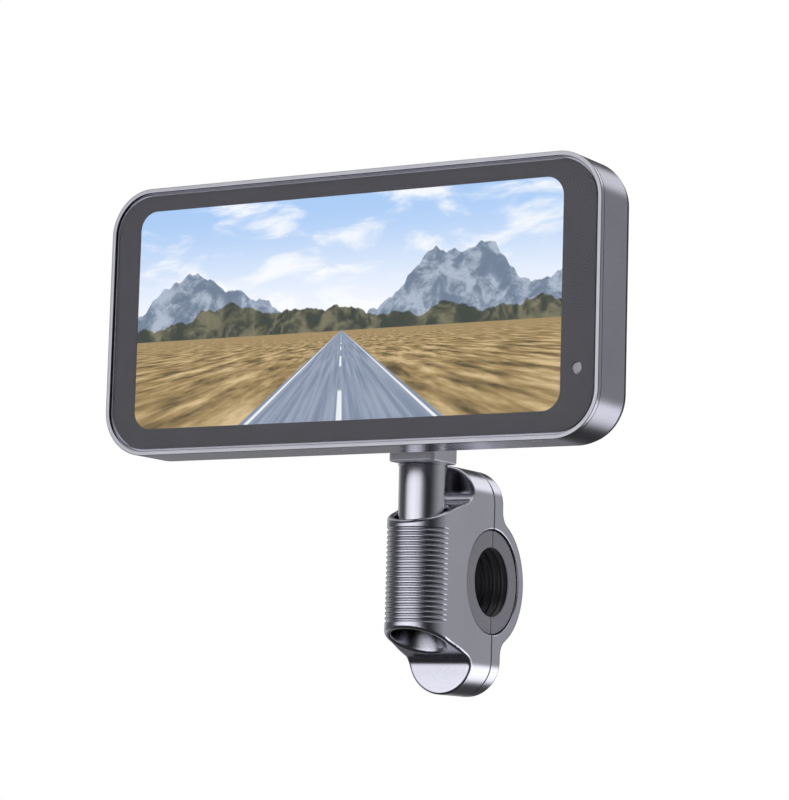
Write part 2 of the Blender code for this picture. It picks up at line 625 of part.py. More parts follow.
def build_stem(stem):
    """Block with its tilt lug, tapered neck and spigot, and what keeps it in the barrel."""
    centre = (0.0, STEM_Y)
    half = BLOCK_SIDE / 2
    cut = half - BLOCK_CHAMFER
    corners = ((half, cut), (cut, half), (-cut, half), (-half, cut),
               (-half, -cut), (-cut, -half), (cut, -half), (half, -cut))
    octagon = [(x, STEM_Y + y) for x, y in corners]
    block = prism("swivel_stem", octagon, "Z", BLOCK_BOTTOM, BLOCK_TOP)
    bevel = block.modifiers.new("block_chamfer", "BEVEL")
    bevel.limit_method = "ANGLE"
    bevel.angle_limit = math.radians(60)
    bevel.width = 0.5 * MM
    bevel.segments = 1
    lug = [(STEM_Y - EYE_RADIUS, BLOCK_TOP - 1.0), (STEM_Y + EYE_RADIUS, BLOCK_TOP - 1.0)]
    lug += arc((STEM_Y, TILT_Z), EYE_RADIUS, 0, 180, 12)
    boolean(block, prism("stem_lug", lug, "X", -LUG_HALF, LUG_HALF), "UNION")
    neck = [(0, BLOCK_TOP - 2.0), (5.0, BLOCK_TOP - 2.0), (5.0, BLOCK_BOTTOM + 0.4),
            (NECK_TOP[0], BLOCK_BOTTOM + 0.4), NECK_TOP,
            (NECK_TOP[0] - 0.25, NECK_TOP[1]), NECK_MOUTH, (6.2, SHOULDER_Z), (SPIGOT_RADIUS, SHOULDER_Z),
            (SPIGOT_RADIUS, SPIGOT_END), (0, SPIGOT_END)]
    boolean(block, turned("stem_neck", neck, "Z", centre, 32, hollow=False), "UNION")
    boolean(block, cylinder("stem_pin_hole", "X", (STEM_Y, TILT_Z), TILT_HOLE, -10, 10, 20))
    boolean(block, cylinder("stem_thread_hole", "Z", centre, 2.3, SPIGOT_END - 1, 1.0, 16))
    finish(block, GUNMETAL, stem, True)

    washer_top = SPIGOT_END - GAP
    washer = turned("stem_washer", [(2.3, washer_top), (7.6, washer_top),
                                    (7.6, washer_top - 1.3), (2.3, washer_top - 1.3)],
                    "Z", centre, 20)
    finish(washer, STEEL, stem, True)
    head_top = washer_top - 1.3 - GAP
    profile = [(0, 0.0), (2.0, 0.0), (2.0, head_top), (3.8, head_top), (3.8, head_top - 2.0),
               (3.2, head_top - 2.6), (0, head_top - 2.6)]
    screw = turned("stem_screw", profile, "Z", centre, 16, hollow=False)
    socket = arc(centre, 1.8, 0, 300, 5)
    boolean(screw, prism("stem_screw_socket", socket, "Z", head_top - 4, head_top - 1.2))
    finish(screw, BLACK_STEEL, stem, True)


# ---------------------------------------------------------------- clamp

def pill_outline(steps=10):
    """The clamp from the front: a tall bar with round ends, as (x, z)."""
    straight = CLAMP_TOP - HALF_WIDTH
    return (arc((0.0, straight), HALF_WIDTH, 0, 180, steps)
            + arc((0.0, -straight), HALF_WIDTH, 180, 360, steps))


def front_half_profile():
    """The front half from the side, as (y, z): barrel, sloped shoulder, fillet and plate."""
    slope = math.degrees(math.atan2(SLOPE_END[1] - BARREL_TOP, SLOPE_END[0] - (STEM_Y - BARREL_RADIUS)))
    fillet = (PLATE_FRONT - SLOPE_END[0]) / (1 - math.sin(math.radians(slope)))
    centre_y = PLATE_FRONT - fillet
    centre_z = SLOPE_END[1] + fillet * math.cos(math.radians(slope))
    upper = [(STEM_Y - BARREL_RADIUS, BARREL_TOP)]
    upper += arc((centre_y, centre_z), fillet, slope - 90, 0, 6)
    upper += [(PLATE_FRONT, CLAMP_TOP + 1), (-PARTING, CLAMP_TOP + 1)]
    return mirrored(upper)


def rear_cap_profile():
    """The rear cap from the side, as (y, z): flange, concave fillet and round back."""
    fillet = 5.0
    centre_y = FLANGE_BACK + fillet
    reach = BULGE_RADIUS + fillet
    centre_z = math.sqrt(reach ** 2 - centre_y ** 2)
    meet = math.degrees(math.atan2(centre_z, centre_y))
    upper = [(PARTING, CLAMP_TOP + 1), (FLANGE_BACK, CLAMP_TOP + 1)]
    upper += arc((centre_y, centre_z), fillet, 180, 180 + meet, 6)
    upper += arc((0.0, 0.0), BULGE_RADIUS, meet, 0, 10)[1:-1]
    return upper + [(BULGE_RADIUS, 0.0)] + [(a, -b) for a, b in reversed(upper)]


def seat_profile():
    """Ring-shaped cutter profile for the grips' seat, with the groove for their rib."""
    edge = RIB_HALF_WIDTH + GAP
    return [(0, -20), (SEAT_RADIUS, -20), (SEAT_RADIUS, -edge), (RIB_RADIUS + GAP, -edge),
            (RIB_RADIUS + GAP, edge), (SEAT_RADIUS, edge), (SEAT_RADIUS, 20), (0, 20)]


def groove_profile():
    """Saw-tooth comb that cuts the grip grooves round the barrel's front."""
    pitch = GROOVE_SPAN / (GROOVE_COUNT - 1)
    outer = BARREL_RADIUS + 1.0
    clear = BARREL_RADIUS + 0.05
    profile = [(outer, -GROOVE_SPAN / 2 - pitch)]
    profile += [(clear, -GROOVE_SPAN / 2 - pitch * 0.5)]
    for i in range(GROOVE_COUNT):
        z = -GROOVE_SPAN / 2 + i * pitch
        profile += [(BARREL_RADIUS - GROOVE_DEPTH, z), (clear, z + pitch * 0.5)]
    profile += [(outer, GROOVE_SPAN / 2 + pitch)]
    return profile


def bore_cutters():
    """The barrel's bore from above and below, and the narrower hole through its land."""
    centre = (0.0, STEM_Y)
    upper = cylinder("barrel_bore_upper", "Z", centre, BARREL_BORE, LAND_HALF, 40, 28)
    lower = cylinder("barrel_bore_lower", "Z", centre, BARREL_BORE, -40, -LAND_HALF, 28)
    land = cylinder("barrel_bore_land", "Z", centre, BORE_LAND, -2, 2, 20)
    return upper, lower, land


def build_clamp(root, cap_axis):
    """Both clamp halves, their screws, the two rubber grips and the stem's bushes."""
    front = prism("clamp_front_half", front_half_profile(), "X", -HALF_WIDTH, HALF_WIDTH)
    shoulder = [(BARREL_RADIUS, STEM_Y + 0.8), (HALF_WIDTH, STEM_Y + 2.2), (HALF_WIDTH, 10)]
    plan = arc((0.0, STEM_Y), BARREL_RADIUS, 180, 360, BARREL_STEPS) + shoulder
    plan += [(-x, y) for x, y in reversed(shoulder)]
    boolean(front, prism("front_half_plan", plan, "Z", -50, 50), "INTERSECT")
    boolean(front, prism("front_half_pill", pill_outline(), "Y", -60, 10), "INTERSECT")
    grooves = turned("front_half_grooves", groove_profile(), "Z", (0.0, STEM_Y), BARREL_STEPS, 180, 180)
    boolean(front, grooves)
    for cutter in bore_cutters():
        boolean(front, cutter)
    boolean(front, turned("front_half_seat", seat_profile(), "X", (0.0, 0.0), 40, hollow=False))
    places = [(0.0, -CLAMP_SCREW_Z), (0.0, CLAMP_SCREW_Z)]
    bottom = CLAMP_SCREW["tip"] - 0.8
    screw_holes = [(circle(place, CLAMP_SCREW["hole"], 12), "Y", bottom, 5) for place in places]
    boolean(front, prisms("front_half_screw_holes", screw_holes))
    finish(front, GUNMETAL, root, True)

    rear = prism("clamp_rear_cap", rear_cap_profile(), "X", -HALF_WIDTH, HALF_WIDTH)
    boolean(rear, prism("rear_cap_pill", pill_outline(), "Y", -10, 60), "INTERSECT")
    boolean(rear, turned("rear_cap_seat", seat_profile(), "X", (0.0, 0.0), 40, hollow=False))
    holes = [(circle(place, CLAMP_SCREW["hole"], 12), "Y", -5, 20) for place in places]
    boolean(rear, prisms("rear_cap_screw_holes", holes))
    bores = [(circle(place, CLAMP_SCREW["bore"], 16), "Y", CLAMP_SCREW["seat"], 20) for place in places]
    boolean(rear, prisms("rear_cap_screw_bores", bores))
    finish(rear, GUNMETAL, cap_axis, True)

    seat = CLAMP_SCREW["seat"] + GAP
    shank, head = CLAMP_SCREW["shank"], CLAMP_SCREW["head"]
    tip = CLAMP_SCREW["tip"]
    profile = [(0, tip), (shank - 0.4, tip), (shank, tip + 0.4), (shank, seat),
               (head, seat), (head, seat + 4.6), (head - 0.5, seat + 5.1),
               (2.2, seat + 5.1), (2.0, seat + 2.2), (0, seat + 2.2)]
    for side, name in ((1, "clamp_screw_upper"), (-1, "clamp_screw_lower")):
        screw = turned(name, profile, "Y", (0.0, side * CLAMP_SCREW_Z), 14, hollow=False)
        finish(screw, BLACK_STEEL, cap_axis, True)

    build_grip("bar_grip_front", root, 90)
    build_grip("bar_grip_rear", cap_axis, -90)
    build_bush("upper_bush", root, LAND_HALF + GAP, SHOULDER_Z - GAP)
    build_bush("lower_bush", root, SPIGOT_END + GAP + 0.2, -LAND_HALF - GAP)


def grip_profile():
    """Section of a rubber grip: round rib outside, gripping rings inside."""
    edge = GRIP_HALF_WIDTH
    inner = BAR_RADIUS + 0.15
    profile = [(inner, -edge), (GRIP_RADIUS, -edge), (GRIP_RADIUS, -RIB_HALF_WIDTH),
               (RIB_RADIUS, -RIB_HALF_WIDTH), (RIB_RADIUS, RIB_HALF_WIDTH), (GRIP_RADIUS, RIB_HALF_WIDTH),
               (GRIP_RADIUS, edge), (inner, edge)]
    rings = 5
    pitch = (2 * edge - 1.5) / rings
    for i in range(rings):
        middle = edge - 0.75 - pitch * (i + 0.5)
        profile += [(BAR_RADIUS, middle + pitch * 0.28), (BAR_RADIUS, middle - pitch * 0.28)]
        if i < rings - 1:
            profile += [(BAR_RADIUS + 1.0, middle - pitch * 0.5)]
    return profile


def build_grip(name, parent, start):
    """One half of the rubber liner; the start angle says which side of the bar it is on."""
    trim = math.degrees(PARTING / BAR_RADIUS) + 0.3
    grip = turned(name, grip_profile(), "X", (0.0, 0.0), 18, 180 - 2 * trim, start + trim)
    finish(grip, RUBBER, parent, True)


def build_bush(name, parent, low, high):
    """A nylon bush between the spigot and the barrel."""
    inner = SPIGOT_RADIUS + GAP
    outer = BARREL_BORE - GAP
    profile = [(inner, low), (outer, low), (outer, high), (inner, high)]
    finish(turned(name, profile, "Z", (0.0, STEM_Y), 20), BLACK_PLASTIC, parent, True)


def build():
    """Clear the scene and build the whole assembly, body by body."""
    for obj in list(bpy.data.objects):
        bpy.data.objects.remove(obj, do_unlink=True)
    root = joint_empty("clamp_origin", (0, 0, 0))
    cap_axis = joint_empty("cap_release_axis", (0, 0, 0), root)
    stem = joint_empty("swivel_axis", (0, STEM_Y, 0), root)
    display = joint_empty("tilt_axis", (0, STEM_Y, TILT_Z), stem)
    top = DISPLAY_Z + CASING_HEIGHT / 2
    button_axes = {}
    for name, x in BUTTON_X.items():
        button_axes[name] = joint_empty(name + "_axis", (x, deep(BUTTON_DEPTH), top), display)
    hinge_y = deep(BAY_BACK - GAP)
    flap_axis = joint_empty("port_flap_axis", (-CASING_WIDTH / 2, hinge_y, BAY_Z), display)

    build_clamp(root, cap_axis)
    build_stem(stem)
    build_bracket(display)
    build_casing(display)
    build_front(display)
    build_electronics(display)
    build_ports(display, flap_axis)
    build_buttons(button_axes)
    build_rear_cover(display)
    build_lens(display)


build()
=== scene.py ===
"""Looks for the handlebar dash camera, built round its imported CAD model.

Lengths here are in mm and are turned into metres when a mesh is made. Places come from the
CAD nodes' boxes and from the joints, so each piece lies where its CAD node does.
"""
import json
import math

import bmesh
import bpy
from mathutils import Matrix, Vector


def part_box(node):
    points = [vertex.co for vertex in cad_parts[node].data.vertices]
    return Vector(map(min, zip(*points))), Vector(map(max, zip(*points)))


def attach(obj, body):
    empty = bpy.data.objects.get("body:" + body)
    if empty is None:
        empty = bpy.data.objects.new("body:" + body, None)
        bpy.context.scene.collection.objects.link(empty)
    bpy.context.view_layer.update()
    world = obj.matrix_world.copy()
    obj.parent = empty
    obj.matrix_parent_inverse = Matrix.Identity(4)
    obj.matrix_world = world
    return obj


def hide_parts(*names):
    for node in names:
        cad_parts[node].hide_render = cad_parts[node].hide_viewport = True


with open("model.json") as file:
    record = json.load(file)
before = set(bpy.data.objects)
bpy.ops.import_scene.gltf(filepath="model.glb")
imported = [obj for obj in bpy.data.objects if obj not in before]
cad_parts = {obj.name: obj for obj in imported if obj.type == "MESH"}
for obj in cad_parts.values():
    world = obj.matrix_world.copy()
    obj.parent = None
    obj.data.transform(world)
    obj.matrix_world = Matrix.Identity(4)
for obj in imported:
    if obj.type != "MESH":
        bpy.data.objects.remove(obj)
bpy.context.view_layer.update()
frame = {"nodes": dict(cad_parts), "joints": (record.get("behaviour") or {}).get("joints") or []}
NODES = frame["nodes"]
JOINTS = {joint["name"]: joint for joint in frame["joints"]}
MM = 0.001
WELD = 0.000002


def box_mm(node):
    """Lowest and highest corner of a CAD node, in mm."""
    low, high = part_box(node)
    return Vector(low) / MM, Vector(high) / MM


def middle_of(node, first="x", second="z"):
    """Centre of a CAD node's box in two directions, in mm."""
    low, high = box_mm(node)
    return tuple((getattr(low, way) + getattr(high, way)) / 2 for way in (first, second))


# Places read from the frame.
RIM_LOW, RIM_HIGH = box_mm("front_rim")
FRAME_HIGH = box_mm("casing_frame")[1]
COVER_LOW, COVER_HIGH = box_mm("rear_cover")
GLASS_LOW, GLASS_HIGH = box_mm("cover_glass")
MASK_LOW, MASK_HIGH = box_mm("bezel_mask")
PANEL_LOW, PANEL_HIGH = box_mm("screen_panel")
STEM_LOW, STEM_HIGH = box_mm("swivel_stem")
HALF_LOW, HALF_HIGH = box_mm("clamp_front_half")
CAP_LOW, CAP_HIGH = box_mm("clamp_rear_cap")
GRIP_EDGE = box_mm("bar_grip_front")[1].x
STEM_Y = JOINTS["stem_swivel"]["pos_m"][1] / MM
TILT_Z = JOINTS["display_tilt"]["pos_m"][2] / MM
FRONT_Y = RIM_LOW.y
DISPLAY_Z = (RIM_LOW.z + RIM_HIGH.z) / 2
CASING_WIDTH = RIM_HIGH.x - RIM_LOW.x
CASING_HEIGHT = RIM_HIGH.z - RIM_LOW.z

# Shapes that a box doesn't tell, as in the CAD model.
CASING_CORNER = 14.0
CASING_WALL = 2.2
LEDGE_BACK = 3.6
RIM_BAND = 1.35
SEAM = 0.06
BACK_ROUNDING = 1.4
SCREEN_SIZE = (144.2, 66.4)
SCREEN_OFFSET = (-1.4, 0.6)
SCREEN_CORNER = 5.7
SENSOR_HOLE = 1.7
BLOCK_CHAMFER = 1.1
BLOCK_TOP = 44.0
BLOCK_BOTTOM = 34.1
LUG_HALF = 4.0
EYE_RADIUS = 6.5
TILT_HOLE = 2.7
NECK_TOP = (7.45, 33.2)
NECK_MOUTH = (7.1, 16.2)
SHOULDER = (6.2, 8.8)
SPIGOT_RADIUS = 5.2
BARREL_RADIUS = 10.3
BARREL_TOP = 15.8
BARREL_BORE = 8.1
SLOPE_END = (-15.5, 23.3)
PLATE_FRONT = -12.5
FLANGE_BACK = 6.0
BULGE_RADIUS = 20.0
BAR_RADIUS = 10.5
GRIP_RADIUS = 15.9
SEAT_RADIUS = 16.2
RIB_RADIUS = 16.6
RIB_HALF_WIDTH = 3.0
GROOVE_COUNT = 19
GROOVE_SPAN = 27.4
GROOVE_DEPTH = 0.42
GROOVE_RUN_OUT = 0.34
CLAMP_SCREW_Z = 28.0
SCREW_HOLE = 2.7
SCREW_HEAD_BORE = 4.6
EDGE_CHAMFER = 0.55
PARTING = 0.05
ROUGH_CAST = 0.26
FINE_CAST = 0.24
NODE_EDGE = 0.12
BUTTON_SLOT = (12.6, 5.6)
LENS_HOLE = 9.5
GRIP_RINGS = 7
RING_DEPTH = 1.1


# ---------------------------------------------------------------- camera, floor and light

CAMERA_DISTANCE = 0.8763
CAMERA_YAW = 30.638
CAMERA_PITCH = 7.457
CAMERA_ROLL = 1.595
CAMERA_LENS = 136.056
CAMERA_AIM = (-0.0150, 0.0266)     # where the display's centre lies in the view, in metres
FLOOR_Z = -0.11


def build_camera():
    """The camera looks at the display from its right and a little below."""
    yaw = math.radians(CAMERA_YAW)
    pitch = math.radians(CAMERA_PITCH)
    roll = math.radians(CAMERA_ROLL)
    ahead = Vector((-math.sin(yaw) * math.cos(pitch), math.cos(yaw) * math.cos(pitch), math.sin(pitch)))
    level = Vector((math.cos(yaw), math.sin(yaw), 0.0))
    raised = level.cross(ahead)
    right = level * math.cos(roll) + raised * math.sin(roll)
    up = raised * math.cos(roll) - level * math.sin(roll)
    target = Vector((0.0, FRONT_Y, DISPLAY_Z)) * MM
    place = target - ahead * CAMERA_DISTANCE - right * CAMERA_AIM[0] - up * CAMERA_AIM[1]
    turn = Matrix((right, up, -ahead)).transposed().to_4x4()
    data = bpy.data.cameras.new("camera")
    data.lens = CAMERA_LENS
    data.sensor_width = 36.0
    data.clip_start = 0.01
    camera = bpy.data.objects.new("camera", data)
    camera.matrix_world = Matrix.Translation(place) @ turn
    bpy.context.collection.objects.link(camera)
    bpy.context.scene.camera = camera


class Graph:
    """Builds a node tree from expressions. A value is a socket, a number or a tuple."""

    def __init__(self, tree):
        self.tree = tree

    def add(self, kind, **settings):
        node = self.tree.nodes.new(kind)
        for name, value in settings.items():
            setattr(node, name, value)
        return node

    def put(self, value, socket):
        if isinstance(value, bpy.types.NodeSocket):
            self.tree.links.new(value, socket)
        elif isinstance(value, tuple) and len(value) == 3 and socket.type == "RGBA":
            socket.default_value = (*value, 1.0)
        else:
            socket.default_value = value

    def fill(self, node, **values):
        """Set a node's inputs by name, with _ for a space."""
        for name, value in values.items():
            self.put(value, node.inputs[name.replace("_", " ")])

    def math(self, operation, *values):
        node = self.add("ShaderNodeMath", operation=operation)
        for value, socket in zip(values, node.inputs):
            self.put(value, socket)
        return node.outputs[0]

    def plus(self, a, b):
        return self.math("ADD", a, b)

    def minus(self, a, b):
        return self.math("SUBTRACT", a, b)

    def times(self, a, b):
        return self.math("MULTIPLY", a, b)

    def over(self, a, b):
        return self.math("DIVIDE", a, b)

    def inverse(self, a):
        return self.math("SUBTRACT", 1.0, a)

    def step(self, value, low, high):
        """0 below low, 1 above high, smooth between; falls where low is over high."""
        node = self.add("ShaderNodeMapRange", interpolation_type="SMOOTHSTEP")
        falling = not isinstance(low, bpy.types.NodeSocket) and low > high
        first, last = (high, low) if falling else (low, high)
        self.fill(node, Value=value, From_Min=first, From_Max=last,
                  To_Min=float(falling), To_Max=float(not falling))
        return node.outputs["Result"]

    def band(self, value, low, high, soft):
        """1 between low and high, fading over soft outside them."""
        return self.times(self.step(value, low - soft, low), self.step(value, high + soft, high))

    def mix(self, factor, a, b):
        node = self.add("ShaderNodeMix", data_type="RGBA")
        self.put(factor, node.inputs[0])
        self.put(a, node.inputs[6])
        self.put(b, node.inputs[7])
        return node.outputs[2]

    def choose(self, factor, first, second):
        """One shader where the factor is 0 and the other where it is 1."""
        node = self.add("ShaderNodeMixShader")
        for value, socket in zip((factor, first.outputs[0], second.outputs[0]), node.inputs):
            self.put(value, socket)
        return node.outputs[0]

    def vector(self, x, y, z=0.0):
        node = self.add("ShaderNodeCombineXYZ")
        for value, socket in zip((x, y, z), node.inputs):
            self.put(value, socket)
        return node.outputs[0]

    def split(self, vector):
        node = self.add("ShaderNodeSeparateXYZ")
        self.put(vector, node.inputs[0])
        return node.outputs[0], node.outputs[1], node.outputs[2]

    def scale(self, vector, factors):
        node = self.add("ShaderNodeVectorMath", operation="MULTIPLY")
        self.put(vector, node.inputs[0])
        node.inputs[1].default_value = factors
        return node.outputs[0]

    def noise(self, vector, scale, detail=3.0, roughness=0.5, distortion=0.0):
        node = self.add("ShaderNodeTexNoise")
        self.fill(node, Vector=vector, Scale=scale, Detail=detail,
                  Roughness=roughness, Distortion=distortion)
        return node.outputs["Fac"]

    def cells(self, vector, scale, feature="F1"):
        node = self.add("ShaderNodeTexVoronoi", feature=feature)
        self.fill(node, Vector=vector, Scale=scale)
        return node.outputs["Distance"]

    def ramp(self, value, stops):
        node = self.add("ShaderNodeValToRGB")
        self.put(value, node.inputs[0])
        elements = node.color_ramp.elements
        while len(elements) < len(stops):
            elements.new(0.5)
        for element, (place, colour) in zip(elements, stops):
            element.position = place
            element.color = (*colour, 1.0)
        return node.outputs[0]

    def curve(self, value, points):
        """A height read from a curve through a few points, both from 0 to 1."""
        node = self.add("ShaderNodeFloatCurve")
        self.put(value, node.inputs["Value"])
        line = node.mapping.curves[0]
        while len(line.points) < len(points):
            line.points.new(0.5, 0.5)
        for point, (x, y) in zip(line.points, points):
            point.location = (x, y)
            point.handle_type = "AUTO_CLAMPED"
        node.mapping.update()
        return node.outputs[0]


# Brightness of the studio seen level, by azimuth in degrees: key box, dark flag, grey wall, dark wall.
STUDIO_RING = (
    (-180, 0.14), (-161, 0.11), (-151, 0.26), (-139, 0.68), (-126, 1.12), (-110, 1.36), (-92, 1.42),
    (-80, 1.34), (-70, 1.05), (-60, 0.58), (-50, 0.21), (-40, 0.07), (-28, 0.04), (-14, 0.09),
    (0, 0.20), (20, 0.37), (42, 0.48), (64, 0.46), (76, 0.26), (90, 0.10), (106, 0.07),
    (122, 0.13), (136, 0.36), (148, 0.60), (160, 0.38), (171, 0.20), (180, 0.14))
RING_PEAK = 1.5
# Extra soft lights: azimuth from, to, softness, height from, to, softness, strength.
LIGHT_BANDS = (
    (42.0, 74.0, 12.0, -33.0, -11.0, 7.0, 1.45),
    (68.0, 92.0, 10.0, 25.0, 36.0, 7.0, 1.15),
    (112.0, 128.0, 5.0, -12.0, -6.0, 4.0, 0.28),
    (-135.0, -100.0, 15.0, -40.0, 0.0, 12.0, 0.25),
)


def build_world():
    """Plain white surroundings, with the strip boxes and dark flags of a studio in reflections."""
    world = bpy.data.worlds.new("studio")
    bpy.context.scene.world = world
    world.use_nodes = True
    g = Graph(world.node_tree)
    world.node_tree.nodes.clear()
    ray = g.add("ShaderNodeTexCoord").outputs["Generated"]
    x, y, z = g.split(ray)
    around = g.over(g.math("ARCTAN2", y, x), math.pi)
    height = g.times(g.math("ARCSINE", z), 180.0 / math.pi)
    azimuth = g.times(around, 180.0)
    place = g.plus(g.times(around, 0.5), 0.5)
    stops = [((angle + 180) / 360, level / RING_PEAK) for angle, level in STUDIO_RING]
    ring = g.times(g.curve(place, stops), RING_PEAK)
    for start, end, soft, low, high, fade, strength in LIGHT_BANDS:
        shape = g.times(g.band(azimuth, start, end, soft), g.band(height, low, high, fade))
        ring = g.plus(ring, g.times(shape, strength))
    ceiling = g.step(height, 46.0, 64.0)
    cellar = g.step(height, -30.0, -50.0)
    light = g.plus(g.times(ring, g.inverse(ceiling)), g.times(ceiling, 0.85))
    light = g.plus(g.times(light, g.inverse(cellar)), g.times(cellar, 0.04))
    studio = g.add("ShaderNodeBackground")
    g.fill(studio, Color=(0.975, 0.975, 1.0))
    g.put(light, studio.inputs["Strength"])
    plain = g.add("ShaderNodeBackground")
    g.fill(plain, Color=(1.0, 1.0, 1.0), Strength=1.0)
    seen = g.add("ShaderNodeLightPath").outputs["Is Camera Ray"]
    g.fill(g.add("ShaderNodeOutputWorld"), Surface=g.choose(seen, studio, plain))
    bpy.context.scene.view_settings.view_transform = "Standard"


def build_floor():
    """A plain pale floor below the clamp, which hangs on a handlebar and never touches it."""
    mesh = bmesh.new()
    bmesh.ops.create_grid(mesh, x_segments=1, y_segments=1, size=6.0)
    floor = new_object("floor", mesh)
    floor.location.z = FLOOR_Z
    material, g, shader = blank("floor")
    g.fill(shader, Base_Color=(0.86, 0.86, 0.87), Roughness=0.7)
    floor.data.materials.append(material)
    floor.visible_glossy = False


# ---------------------------------------------------------------- materials

def blank(name):
    """A new material with its Principled shader and a graph over its nodes."""
    material = bpy.data.materials.new(name)
    material.use_nodes = True
    return material, Graph(material.node_tree), material.node_tree.nodes["Principled BSDF"]


def object_place(g):
    """Place on the piece, in mm."""
    return g.scale(g.add("ShaderNodeTexCoord").outputs["Object"], (1000.0, 1000.0, 1000.0))


def emboss(g, shader, height, strength, distance):
    """Fine relief from a height value, with its depth in mm."""
    relief = g.add("ShaderNodeBump")
    g.fill(relief, Strength=strength, Distance=distance * MM, Height=height)
    g.fill(shader, Normal=relief.outputs[0])


def edge_mask(g, radius):
    """1 along worn edges: where a rounded normal leaves the true one."""
    bevel = g.add("ShaderNodeBevel", samples=4)
    g.fill(bevel, Radius=radius * MM)
    true_normal = g.add("ShaderNodeNewGeometry").outputs["Normal"]
    dot = g.add("ShaderNodeVectorMath", operation="DOT_PRODUCT")
    g.put(bevel.outputs[0], dot.inputs[0])
    g.put(true_normal, dot.inputs[1])
    return g.step(dot.outputs["Value"], 0.995, 0.93)


def metal(name, colour, roughness, grain=(1.0, 1.0, 1.0), wear=0.25, bump=0.004,
          grain_scale=2.2, side_colour=None, blasted_above=None, hollow_shade=0.0):
    """Machined and coated metal: fine directional grain, uneven sheen, lighter edges and, with
    hollow_shade, painted shade in enclosed hollows.
    """
    material, g, shader = blank(name)
    place = object_place(g)
    fine = g.noise(g.scale(place, grain), grain_scale, 2.0, 0.5)
    broad = g.noise(place, 0.05, 2.0)
    tone = g.plus(g.times(fine, 0.5), g.times(broad, 0.5))
    dark = tuple(c * 0.95 for c in colour)
    light = tuple(c * 1.05 for c in colour)
    worn = tuple(min(1.0, c * 1.5 + 0.06) for c in colour)
    base = g.mix(g.step(tone, 0.3, 0.7), dark, light)
    if side_colour:
        _, facing, _ = g.split(g.add("ShaderNodeTexCoord").outputs["Normal"])
        base = g.mix(g.step(facing, -0.85, -0.6), base, side_colour)
    # Painted shade: where the surface is enclosed and doesn't face up, the colour darkens towards a tenth
    # of itself.
    if hollow_shade > 0.0:
        hollow = g.add("ShaderNodeAmbientOcclusion", samples=6)
        g.fill(hollow, Distance=14.0 * MM)
        upward = g.split(g.add("ShaderNodeTexCoord").outputs["Normal"])[2]
        shaded = g.times(g.step(hollow.outputs["AO"], 0.85, 0.50), hollow_shade)
        shaded = g.times(shaded, g.step(upward, 0.35, 0.15))
        base = g.mix(shaded, base, tuple(c * 0.1 for c in colour))
    if wear > 0.0:
        base = g.mix(g.times(edge_mask(g, 0.35), wear), base, worn)
    g.fill(shader, Base_Color=base, Metallic=1.0)
    rough = g.plus(roughness * 0.88, g.times(fine, roughness * 0.24))
    if blasted_above:
        blasted = g.step(g.split(place)[2], blasted_above - 0.2, blasted_above + 0.2)
        g.fill(shader, Metallic=g.inverse(g.times(blasted, 0.62)))
        rough = g.plus(rough, g.times(blasted, 0.25))
    g.fill(shader, Roughness=rough)
    emboss(g, shader, fine, 0.35, bump)
    return material


def plastic(name, colour, roughness, bump=0.03, grain_scale=4.0, variation=0.12):
    """Moulded plastic or rubber: fine pebbled skin with small changes of tone and gloss."""
    material, g, shader = blank(name)
    place = object_place(g)
    skin = g.noise(place, grain_scale, 3.0, 0.6)
    broad = g.noise(place, 0.12, 3.0)
    dark = tuple(c * (1 - variation) for c in colour)
    light = tuple(min(1.0, c * (1 + variation)) for c in colour)
    g.fill(shader, Base_Color=g.mix(g.step(broad, 0.3, 0.7), dark, light))
    g.fill(shader, Roughness=g.plus(roughness * 0.85, g.times(skin, roughness * 0.3)))
    emboss(g, shader, skin, 0.5, bump)
    return material


def grip_rubber(name, face, bore):
    """Matt grey rubber; inside the hole its surface is glossier, and painted shade turns its colour near
    black.
    """
    material, g, shader = blank(name)
    place = object_place(g)
    x, y, z = g.split(place)
    radius = g.math("SQRT", g.plus(g.times(y, y), g.times(z, z)))
    depth = g.minus(GRIP_EDGE, g.math("ABSOLUTE", x))
    # Painted shade: near the bar, inside the hole, the colour turns to the dark bore colour; this surface
    # is also glossier.
    inside = g.times(g.step(radius, BAR_RADIUS + 1.7, BAR_RADIUS + 1.4), g.step(depth, 0.15, 0.5))
    skin = g.noise(place, 3.0, 3.0, 0.6)
    tone = g.mix(g.step(skin, 0.3, 0.7), face, tuple(c * 1.12 for c in face))
    g.fill(shader, Base_Color=g.mix(inside, tone, bore))
    rough = g.minus(g.plus(0.55, g.times(skin, 0.15)), g.times(inside, 0.30))
    g.fill(shader, Roughness=rough)
    emboss(g, shader, skin, 0.5, 0.02)
    return material


def clear_glass(name, tint, roughness=0.02, index=1.5):
    """Polished glass that lets light through; a low index stands for an anti-glare coating."""
    material, g, shader = blank(name)
    place = object_place(g)
    smear = g.noise(g.scale(place, (0.6, 1.0, 1.4)), 0.06, 4.0, 0.55, 0.6)
    g.fill(shader, Base_Color=tint, Transmission_Weight=1.0, IOR=index)
    g.fill(shader, Roughness=g.plus(roughness * 0.5, g.times(smear, roughness)))
    see = g.add("ShaderNodeBsdfTransparent")
    g.fill(see, Color=tint)
    path = g.add("ShaderNodeLightPath")
    through = g.math("MAXIMUM", path.outputs["Is Shadow Ray"], path.outputs["Is Diffuse Ray"])
    g.fill(material.node_tree.nodes["Material Output"], Surface=g.choose(through, shader, see))
    return material


